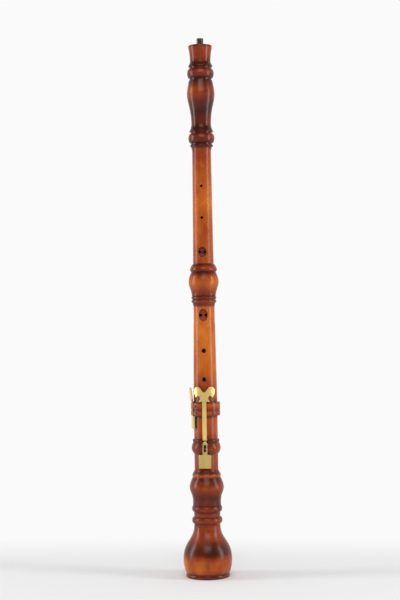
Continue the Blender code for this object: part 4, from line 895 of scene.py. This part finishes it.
def add_spring(name, key, section, rivet_name, rivet_height, rivet_low, rivet_high):
    """A leaf spring under a key and the rivet that holds it in a blind hole of the key."""
    spring = add_object(name, side_prism(section, SPRING_WIDTH), key)
    hole = rod_mesh(RIVET_RADIUS + SEAT_GAP, rivet_low - SPRING_WIDTH,
                    rivet_high + SEAT_GAP - rivet_low + SPRING_WIDTH, OUTWARD, RIVET_HOLE_STEPS)
    cutter = add_object(name + "_hole", hole, parent=key, place=(0, 0, rivet_height))
    combine(spring, cutter, "DIFFERENCE")
    combine(key, cutter, "DIFFERENCE")
    rod = rod_mesh(RIVET_RADIUS, rivet_low, rivet_high - rivet_low, OUTWARD, RIVET_STEPS)
    return spring, add_object(rivet_name, rod, key, (0, 0, rivet_height))


def add_great_spring(touch):
    rivet = TOUCH_BASE + TOUCH_RIVET_HEIGHT
    top = math.sqrt(TOUCH_LOW ** 2 - (SPRING_WIDTH / 2) ** 2) - SEAT_GAP
    low = top - SPRING_THICKNESS
    tip = rivet - TOUCH_SPRING_LENGTH
    tip_low = KEY_TUBE_RADIUS + SPRING_TIP_LIFT
    section = [(top, rivet + SPRING_END), (top, rivet - SPRING_END), (tip_low + SPRING_THICKNESS, tip),
               (tip_low, tip), (low, rivet - SPRING_END), (low, rivet + SPRING_END)]
    pin = TOUCH_PIN_HEIGHT
    return add_spring("great_touch_leaf", touch, around_pin(section, pin), "great_leaf_rivet", rivet - pin,
               low - PIN_OFFSET, TOUCH_LOW + RIVET_DEPTH - PIN_OFFSET)


def add_e_flat_spring(key):
    rivet = TOUCH_BASE + E_FLAT_RIVET_HEIGHT
    tip = rivet - E_FLAT_SPRING_LENGTH
    tip_low = KEY_TUBE_RADIUS + E_FLAT_SPRING_TIP_LIFT
    ends = (rivet + SPRING_END, rivet - SPRING_END)
    held = [(e_flat_touch_low(height) - SEAT_GAP, height) for height in ends]
    section = held + [(tip_low + SPRING_THICKNESS, tip), (tip_low, tip)]
    section += [(offset - SPRING_THICKNESS, height) for offset, height in reversed(held)]
    under = e_flat_touch_low(rivet)
    pin = E_FLAT_PIN_HEIGHT
    return add_spring("e_flat_leaf", key, around_pin(section, pin), "e_flat_leaf_rivet", rivet - pin,
                      under - SEAT_GAP - SPRING_THICKNESS - PIN_OFFSET, under + RIVET_DEPTH - PIN_OFFSET)


def cut_key_work(joint, front, side):
    """Channels, pin holes, pad seats and tone holes of both keys in the middle joint."""
    ring_low = MIDDLE_SHOULDER + RING_FOOT - SEAT_GAP
    ring_high = MIDDLE_SHOULDER + RING_TOP + SEAT_GAP
    cut_channel(joint, "great_upper_channel", front, SHANK_WIDTH + 2 * KEY_SIDE_GAP,
                channel_section(ring_low, ring_high, CHANNEL_FLOOR, TOUCH_PIN_HEIGHT))
    cut_channel(joint, "great_lower_channel", front, FORK_WIDTH + 2 * KEY_SIDE_GAP,
                box_section(LOWER_CHANNEL_FLOOR, OUTSIDE, FLAP_PIN_HEIGHT - FLAP_NECK_LENGTH,
                            NOSE_END + NOSE_LENGTH + KEY_FLOOR_GAP))
    cut_pin_hole(joint, "great_touch_pin_hole", front, TOUCH_PIN_HEIGHT)
    cut_pin_hole(joint, "great_flap_pin_hole", front, FLAP_PIN_HEIGHT)
    flap_top = FLAP_PIN_HEIGHT - FLAP_NECK_LENGTH
    flap_foot = flap_top - FLAP_LENGTH
    cut_seat(joint, "great_seat", front, GREAT_SEAT_OFFSET, flap_foot - SEAT_MARGIN, flap_top + SEAT_MARGIN)
    drill(joint, "great_tone_hole", (flap_top + flap_foot) / 2, GREAT_TONE_HOLE_RADIUS, parent=front)
    cut_channel(joint, "e_flat_channel", side, E_FLAT_SHANK_WIDTH + 2 * KEY_SIDE_GAP,
                channel_section(ring_low, ring_high, CHANNEL_FLOOR, E_FLAT_PIN_HEIGHT))
    cut_pin_hole(joint, "e_flat_pin_hole", side, E_FLAT_PIN_HEIGHT)
    foot = E_FLAT_FLAP_TOP - E_FLAT_FLAP_LENGTH
    cut_seat(joint, "e_flat_seat", side, E_FLAT_SEAT_OFFSET, foot - SEAT_MARGIN, E_FLAT_FLAP_TOP + SEAT_GAP)
    drill(joint, "e_flat_tone_hole", (E_FLAT_FLAP_TOP + foot) / 2, E_FLAT_TONE_HOLE_RADIUS, parent=side)


def make_crook_socket(joint):
    """Black sleeve in the top of the instrument, into which the crook is pushed."""
    outline = Outline(CROOK_SOCKET_BORE, CROOK_SOCKET_STAND)
    outline.line(CROOK_SOCKET_RADIUS - CROOK_SOCKET_EDGE, CROOK_SOCKET_STAND)
    outline.arch(CROOK_SOCKET_RADIUS, CROOK_SOCKET_STAND - CROOK_SOCKET_EDGE, 2, 0)
    outline.line(CROOK_SOCKET_RADIUS, -CROOK_SOCKET_DEPTH)
    outline.line(CROOK_SOCKET_BORE, -CROOK_SOCKET_DEPTH)
    return add_object("crook_sleeve", turned_mesh(outline, SLEEVE_STEPS), joint, (0, 0, TOP_LENGTH))


class Value:
    """A socket of a node tree, with arithmetic that adds Math nodes."""

    def __init__(self, nodes, socket):
        self.nodes = nodes
        self.socket = socket

    def math(self, operation, first, second):
        return self.nodes.node("ShaderNodeMath", {"operation": operation}, [first, second])

    def __add__(self, other):
        return self.math("ADD", self, other)

    __radd__ = __add__

    def __sub__(self, other):
        return self.math("SUBTRACT", self, other)

    def __rsub__(self, other):
        return self.math("SUBTRACT", other, self)

    def __mul__(self, other):
        return self.math("MULTIPLY", self, other)

    __rmul__ = __mul__

    def __pow__(self, other):
        return self.math("POWER", self, other)

    def at_least(self, other):
        return self.math("MAXIMUM", self, other)

    def rise(self, low, high):
        """0 below low, 1 above high, and smooth between them."""
        return self.nodes.node("ShaderNodeMapRange", {"interpolation_type": "SMOOTHSTEP"},
                               {"Value": self, "From Min": low, "From Max": high})


class Nodes:
    """A node tree, built node by node."""

    def __init__(self, tree):
        self.tree = tree

    def node(self, kind, settings=None, inputs=None, output=0):
        """Adds a node, sets it, links or sets its inputs, by name or in order, and returns one output."""
        made = self.tree.nodes.new(kind)
        for key, value in (settings or {}).items():
            if key == "stops":
                self.set_stops(made.color_ramp, value)
            else:
                setattr(made, key, value)
        named = inputs.items() if isinstance(inputs, dict) else enumerate(inputs or [])
        for key, value in named:
            if isinstance(value, Value):
                self.tree.links.new(value.socket, made.inputs[key])
            else:
                made.inputs[key].default_value = value
        return Value(self, made.outputs[output])

    def set_stops(self, ramp, stops):
        """Gives a colour ramp its stops, each a position and a grey or a colour."""
        while len(ramp.elements) > 1:
            ramp.elements.remove(ramp.elements[-1])
        for index, (position, colour) in enumerate(stops):
            element = ramp.elements[0] if index == 0 else ramp.elements.new(position)
            element.position = position
            element.color = (*colour, 1.0) if isinstance(colour, tuple) else (colour, colour, colour, 1.0)

    def seen_rays(self):
        """1 for rays that see the background directly or in a reflection."""
        camera, glossy, clear = [self.node("ShaderNodeLightPath", output=f"Is {kind} Ray")
                                 for kind in ("Camera", "Glossy", "Transmission")]
        return camera.at_least(glossy).at_least(clear)


class Finish(Nodes):
    """A procedural material on Object coordinates."""

    def __init__(self, name, **settings):
        self.material = bpy.data.materials.new(name)
        self.material.use_nodes = True
        super().__init__(self.material.node_tree)
        self.shader = self.tree.nodes["Principled BSDF"]
        for socket, value in settings.items():
            title = socket.replace("_", " ").title().replace("Ior", "IOR")
            self.shader.inputs[title].default_value = value
        self.place = self.node("ShaderNodeTexCoord", output="Object")

    def ramp(self, value, stops):
        return self.node("ShaderNodeValToRGB", {"stops": stops}, [value])

    def noise(self, stretch, detail=3.0, roughness=0.5, distortion=0.0, shift=(0.0, 0.0, 0.0)):
        """Noise from 0 to 1, with its own scale along each axis, in features per metre."""
        spot = self.node("ShaderNodeMapping",
                         inputs={"Vector": self.place, "Scale": stretch, "Location": shift})
        return self.node("ShaderNodeTexNoise", inputs={"Vector": spot, "Scale": 1.0, "Detail": detail,
                                                       "Roughness": roughness, "Distortion": distortion})

    def axis(self, name):
        return self.node("ShaderNodeSeparateXYZ", inputs=[self.place], output=name)

    def mix(self, factor, first, second, blend="MIX"):
        return self.node("ShaderNodeMix", {"data_type": "RGBA", "blend_type": blend},
                         {0: factor, 6: first, 7: second}, 2)

    def feed(self, socket, value):
        self.tree.links.new(value.socket, self.shader.inputs[socket])

    def bump(self, height, distance):
        """Relief of the given depth in metres."""
        relief = self.node("ShaderNodeBump", inputs={"Height": height, "Distance": distance, "Strength": 1.0})
        self.feed("Normal", relief)


def dish_stain_and_shade(wood, height, width, tall):
    """Dark stain and painted shade in the dished hollow round a pair of finger holes, with the painted shade
    darkest at its rim.
    """
    across = wood.axis("X") * (2 / width)
    along = (wood.axis("Z") - height) * (2 / tall)
    reach = (across * across + along * along) ** 0.5
    front = 1 - wood.axis("Y").rise(*DISH_FRONT)
    # Inside: stain pooled in the hollow plus painted shade; rim: painted shadow along the hollow's steep edge
    inside = 1 - reach.rise(0.86, 1.04)
    rim = reach.rise(0.62, 0.98) * (1 - reach.rise(1.0, 1.16))
    return (inside * 0.34 + rim * 0.36) * front


def boxwood(name, low, high, bands, dish=None):
    """Stained and oiled boxwood, with painted shade and highlights. bands gives how dark the stain and the
    painted shade are, 0 to 1, at heights in millimetres.
    """
    wood = Finish(name, roughness=0.30, specular_ior_level=0.27)
    span = high - low
    stops = sorted((min(1.0, max(0.0, (height / 1000 - low) / span)), dark) for height, dark in bands)
    height = wood.node("ShaderNodeMapRange",
                       inputs={"Value": wood.axis("Z"), "From Min": low, "From Max": high})
    # The height ramp paints the stain together with shade in grooves and under beads, and highlights on bead
    # crests
    stain_and_shade = wood.node("ShaderNodeSeparateColor", inputs=[wood.ramp(height, stops)])
    blotch = wood.noise((48, 48, 30), 3.0, 0.55, 0.4)
    streak = wood.noise((520, 520, 22), 4.0, 0.6, 0.3, (0.3, 0.1, 0.0))
    fibre = wood.noise((2600, 2600, 90), 2.0, 0.5)
    fleck = wood.noise((900, 900, 420), 2.0, 0.6, 0.0, (0.7, 0.2, 0.4)).rise(0.60, 0.72)
    dark = stain_and_shade + (blotch - 0.5) * 0.75 + (streak - 0.5) * 0.24 + (fibre - 0.5) * 0.16 + fleck * 0.07
    # A dish adds its stain and painted shade round the twin finger holes
    if dish:
        dark = dark + dish_stain_and_shade(wood, *dish)
    colour = wood.ramp(dark, [(0.0, WOOD_GOLD), (0.22, WOOD_ORANGE), (0.45, WOOD_RUST), (0.70, WOOD_BROWN),
                              (1.0, WOOD_UMBER)])
    wood.feed("Base Color", colour)
    wood.feed("Roughness", 0.20 + 0.10 * fibre + 0.08 * streak)
    wood.bump(0.6 * fibre + 0.4 * streak, 0.00002)
    return wood.material


def filed_brass():
    """Satin brass with fine file marks along the keys and a little tarnish."""
    metal = Finish("filed_brass", metallic=0.85, roughness=0.3)
    tarnish = metal.noise((160, 160, 90), 4.0, 0.6)
    marks = metal.noise((5200, 5200, 130), 2.0, 0.5)
    spots = metal.noise((900, 900, 900), 2.0, 0.5).rise(0.62, 0.75)
    tone = metal.ramp(tarnish * 0.7 + marks * 0.3, [(0.25, BRASS_DEEP), (0.75, BRASS_PALE)])
    metal.feed("Base Color", metal.mix(spots * 0.25, tone, (*BRASS_SPOT, 1.0)))
    metal.feed("Roughness", 0.26 + 0.12 * tarnish + 0.10 * marks)
    metal.bump(marks, 0.00001)
    return metal.material


def worked_metal(name, stretch, dark, light, smooth, rough):
    """Rolled or drawn metal, with its marks along one way."""
    metal = Finish(name, metallic=1.0, roughness=0.35)
    marks = metal.noise(stretch, 2.0, 0.5)
    metal.feed("Base Color", metal.ramp(marks, [(0.3, dark), (0.7, light)]))
    metal.feed("Roughness", smooth + (rough - smooth) * marks)
    metal.bump(marks, 0.00001)
    return metal.material


def spring_metal():
    return worked_metal("rolled_brass", (3800, 3800, 70), (0.42, 0.27, 0.09), (0.60, 0.42, 0.17), 0.28, 0.46)


def drawn_steel():
    return worked_metal("drawn_steel", (400, 4200, 4200), (0.22, 0.20, 0.17), (0.46, 0.43, 0.39), 0.30, 0.50)


def pad_leather():
    hide = Finish("pad_leather", roughness=0.7, sheen_weight=0.15)
    cells = hide.node("ShaderNodeTexVoronoi", {"feature": "DISTANCE_TO_EDGE"},
                      {"Vector": hide.place, "Scale": 1900.0})
    grain = cells.rise(0.0, 0.25)
    shade = hide.noise((240, 240, 240), 3.0, 0.6)
    tone = shade * 0.6 + grain * 0.4
    hide.feed("Base Color", hide.ramp(tone, [(0.2, (0.010, 0.008, 0.007)), (0.8, (0.045, 0.034, 0.027))]))
    hide.feed("Roughness", 0.60 + 0.25 * grain)
    hide.bump(grain, 0.00008)
    return hide.material


def waxed_thread():
    thread = Finish("waxed_thread", roughness=0.65)
    twist = thread.noise((2600, 2600, 1400), 3.0, 0.6)
    wax = thread.noise((300, 300, 220), 3.0, 0.5).rise(0.45, 0.7)
    base = thread.ramp(twist, [(0.3, (0.16, 0.020, 0.014)), (0.7, (0.42, 0.075, 0.045))])
    thread.feed("Base Color", thread.mix(wax * 0.3, base, (0.50, 0.30, 0.20, 1.0)))
    thread.feed("Roughness", 0.75 - 0.30 * wax)
    thread.bump(twist, 0.00006)
    return thread.material


def black_sleeve():
    sleeve = Finish("black_sleeve", roughness=0.35, coat_weight=0.2)
    haze = sleeve.noise((700, 700, 160), 3.0, 0.6)
    scratch = sleeve.noise((240, 240, 4200), 2.0, 0.5).rise(0.55, 0.7)
    sleeve.feed("Base Color", sleeve.ramp(haze, [(0.3, (0.006, 0.006, 0.006)), (0.8, (0.022, 0.020, 0.018))]))
    sleeve.feed("Roughness", 0.26 + 0.22 * haze + 0.10 * scratch)
    sleeve.bump(scratch, 0.00001)
    return sleeve.material


def round_edges(piece, width):
    """Softens the sharp edges of a piece."""
    soften = piece.modifiers.new("soft_edges", "BEVEL")
    soften.width = width
    soften.segments = 3
    soften.limit_method = "ANGLE"
    soften.angle_limit = ROUNDED_ANGLE
    soften.harden_normals = True


def settle(pieces):
    """Fixes the modifiers and the places of the pieces in their meshes, with every object at the origin."""
    bpy.context.view_layer.update()
    graph = bpy.context.evaluated_depsgraph_get()
    made = [(piece, bpy.data.meshes.new_from_object(piece.evaluated_get(graph)), piece.matrix_world.copy())
            for piece in pieces]
    for piece, mesh, place in made:
        mesh.transform(place)
        piece.modifiers.clear()
        piece.data = mesh
        piece.parent = None
        piece.matrix_world = Matrix.Identity(4)
    for guide in GUIDES:
        bpy.data.objects.remove(guide, do_unlink=True)


def dress(piece, finish, slot, body, *nodes):
    """Gives a piece its finish, hides the solids it stands for and attaches it to what it rides on."""
    piece.data.materials.clear()
    piece.data.materials.append(finish)
    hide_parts(*nodes)
    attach(piece, body)


def build_instrument():
    bell = make_bell()
    middle = make_middle_joint()
    top = make_top_joint()
    middle_lapping = lapping("middle_tenon_lapping", middle, MIDDLE_TENON_RADIUS, MIDDLE_TENON_LENGTH)
    top_lapping = lapping("top_tenon_lapping", top, TOP_TENON_RADIUS, TOP_TENON_LENGTH)
    sleeve = make_crook_socket(top)
    front = add_empty("front_side")
    side = add_empty("e_flat_side", turn=(0, 0, E_FLAT_ANGLE))
    GUIDES.extend([front, side])
    cut_key_work(middle, front, side)
    touch_pin = add_pin("great_touch_axle", front, TOUCH_PIN_HEIGHT, DOUBLE_RING_RADIUS)
    flap_pin = add_pin("great_flap_axle", front, FLAP_PIN_HEIGHT, BULGE_RADIUS)
    e_flat_pin = add_pin("e_flat_axle", side, E_FLAT_PIN_HEIGHT, DOUBLE_RING_RADIUS)
    touch = make_great_touch()
    great_leaf, great_rivet = add_great_spring(touch)
    flap = make_great_flap()
    great_pad = add_pad("great_flap_pad", flap, FLAP_LOW - PIN_OFFSET, FLAP_WIDTH,
                        -FLAP_NECK_LENGTH - FLAP_LENGTH, -FLAP_NECK_LENGTH)
    e_flat = make_e_flat_key(side)
    e_flat_leaf, e_flat_rivet = add_e_flat_spring(e_flat)
    flap_top = E_FLAT_FLAP_TOP - E_FLAT_PIN_HEIGHT
    e_flat_pad = add_pad("e_flat_flap_pad", e_flat, E_FLAT_LOW - PIN_OFFSET, E_FLAT_FLAP_WIDTH,
                         flap_top - E_FLAT_FLAP_LENGTH, flap_top)

    for piece in (touch, flap, e_flat):
        round_edges(piece, KEY_EDGE)
    for piece in (great_pad, e_flat_pad):
        round_edges(piece, PAD_EDGE)
    for piece in (touch_pin, flap_pin, e_flat_pin, great_rivet, e_flat_rivet):
        round_edges(piece, PIN_EDGE)
    for piece in (great_leaf, e_flat_leaf):
        round_edges(piece, LEAF_EDGE)

    settle([bell, middle, top, middle_lapping, top_lapping, sleeve, touch_pin, flap_pin, e_flat_pin, touch,
            great_leaf, great_rivet, flap, great_pad, e_flat, e_flat_leaf, e_flat_rivet, e_flat_pad])

    brass = filed_brass()
    leaf = spring_metal()
    steel = drawn_steel()
    leather = pad_leather()
    thread = waxed_thread()
    dress(bell, boxwood("bell_boxwood", 0.0, MIDDLE_SHOULDER, BELL_STAIN_AND_SHADE), "dark_boxwood", "bell", "bell")
    dress(middle, boxwood("middle_boxwood", MIDDLE_SHOULDER - MIDDLE_TENON_LENGTH, TOP_SHOULDER, MIDDLE_STAIN_AND_SHADE,
                          (MIDDLE_SHOULDER + HOLE_4_HEIGHT, DISH_4_WIDTH, DISH_4_HEIGHT)),
          "light_boxwood", "middle", "middle_joint")
    dress(top, boxwood("top_boxwood", TOP_SHOULDER - TOP_TENON_LENGTH, TOP_SHOULDER + TOP_LENGTH, TOP_STAIN_AND_SHADE,
                       (TOP_SHOULDER + HOLE_3_HEIGHT, DISH_3_WIDTH, DISH_3_HEIGHT)),
          "dark_boxwood", "top", "top_joint")
    dress(middle_lapping, thread, "waxed_thread", "middle", "middle_tenon_thread")
    dress(top_lapping, thread, "waxed_thread", "top", "top_tenon_thread")
    dress(sleeve, black_sleeve(), "black_sleeve", "top", "crook_socket")
    dress(touch_pin, steel, "steel_pin", "middle", "great_key_touch_pin")
    dress(flap_pin, steel, "steel_pin", "middle", "great_key_flap_pin")
    dress(e_flat_pin, steel, "steel_pin", "middle", "e_flat_pin")
    dress(touch, brass, "brass", "great_touch", "great_key_touch")
    dress(great_leaf, leaf, "spring_brass", "great_touch", "great_key_touch_spring")
    dress(great_rivet, brass, "brass", "great_touch", "great_key_touch_rivet")
    dress(flap, brass, "brass", "great_flap", "great_key_flap")
    dress(great_pad, leather, "leather", "great_flap", "great_key_pad")
    dress(e_flat, brass, "brass", "e_flat", "e_flat_key")
    dress(e_flat_leaf, leaf, "spring_brass", "e_flat", "e_flat_spring")
    dress(e_flat_rivet, brass, "brass", "e_flat", "e_flat_rivet")
    dress(e_flat_pad, leather, "leather", "e_flat", "e_flat_pad")


def build_stage():
    """A pale floor that fades into the white backdrop behind the instrument."""
    builder = bmesh.new()
    bmesh.ops.create_grid(builder, x_segments=1, y_segments=1, size=FLOOR_HALF_WIDTH)
    floor = add_object("floor", builder)
    paper = Finish("floor_paper", roughness=0.9)
    shade = paper.noise((9, 9, 9), 2.0, 0.5)
    paper.feed("Base Color", paper.ramp(shade, [(0.3, FLOOR_GREY), (0.7, FLOOR_GREY + FLOOR_MOTTLE)]))
    glow = paper.node("ShaderNodeEmission", inputs={"Color": (*[BACKDROP_WHITE] * 3, 1.0)})
    across, along = paper.axis("X"), paper.axis("Y")
    behind = along.rise(FLOOR_FADE_START, FLOOR_FADE_END)
    around = ((across * across + along * along) ** 0.5).rise(FLOOR_RADIUS_START, FLOOR_RADIUS_END)
    fade = behind.at_least(around) * paper.seen_rays()
    surface = Value(paper, paper.shader.outputs[0])
    mixed = paper.node("ShaderNodeMixShader", inputs=[fade, surface, glow])
    paper.tree.links.new(mixed.socket, paper.tree.nodes["Material Output"].inputs["Surface"])
    floor.data.materials.append(paper.material)


def build_light():
    """Side softboxes and a front fill in an even white light, and the dark room that polish mirrors."""
    world = bpy.data.worlds.new("studio")
    world.use_nodes = True
    bpy.context.scene.world = world
    sky = Nodes(world.node_tree)
    background = world.node_tree.nodes["Background"]
    background.inputs["Color"].default_value = (1.0, 1.0, 1.0, 1.0)
    camera = sky.node("ShaderNodeLightPath", output="Is Camera Ray")
    toward = sky.node("ShaderNodeTexCoord", output="Generated")
    behind = sky.node("ShaderNodeSeparateXYZ", inputs=[toward], output="Y").rise(ROOM_EDGE, BACKDROP_EDGE)
    mirrored = behind * (BACKDROP_WHITE - ROOM_STRENGTH) + ROOM_STRENGTH
    seen = camera * (BACKDROP_WHITE - mirrored) + mirrored
    strength = sky.seen_rays() * (seen - WORLD_STRENGTH) + WORLD_STRENGTH
    world.node_tree.links.new(strength.socket, background.inputs["Strength"])
    for name, place, width, height, power in LAMPS:
        data = bpy.data.lights.new(name, "AREA")
        data.shape = "RECTANGLE"
        data.size = width
        data.size_y = height
        data.energy = power
        lamp = bpy.data.objects.new(name, data)
        bpy.context.scene.collection.objects.link(lamp)
        lamp.location = place
        lamp.rotation_euler = (Vector(LAMP_AIM) - Vector(place)).to_track_quat("-Z", "Y").to_euler()


def place_camera():
    data = bpy.data.cameras.new("camera")
    data.sensor_fit = "VERTICAL"
    data.sensor_height = SENSOR_HEIGHT
    data.lens = SENSOR_HEIGHT * CAMERA_DISTANCE / (PIXEL_LENGTH * PICTURE_HEIGHT_PIXELS)
    camera = bpy.data.objects.new("camera", data)
    bpy.context.scene.collection.objects.link(camera)
    heading = Matrix.Rotation(CAMERA_TURN, 4, "Z")
    stand = Matrix.Translation((-CAMERA_SIDESTEP, -CAMERA_DISTANCE, CAMERA_HEIGHT))
    level = Matrix.Rotation(math.pi / 2, 4, "X")
    camera.matrix_world = heading @ stand @ level @ Matrix.Rotation(-CAMERA_ROLL, 4, "Z")
    bpy.context.scene.camera = camera


build_instrument()
build_stage()
build_light()
place_camera()
bpy.context.scene.view_settings.view_transform = "Standard"
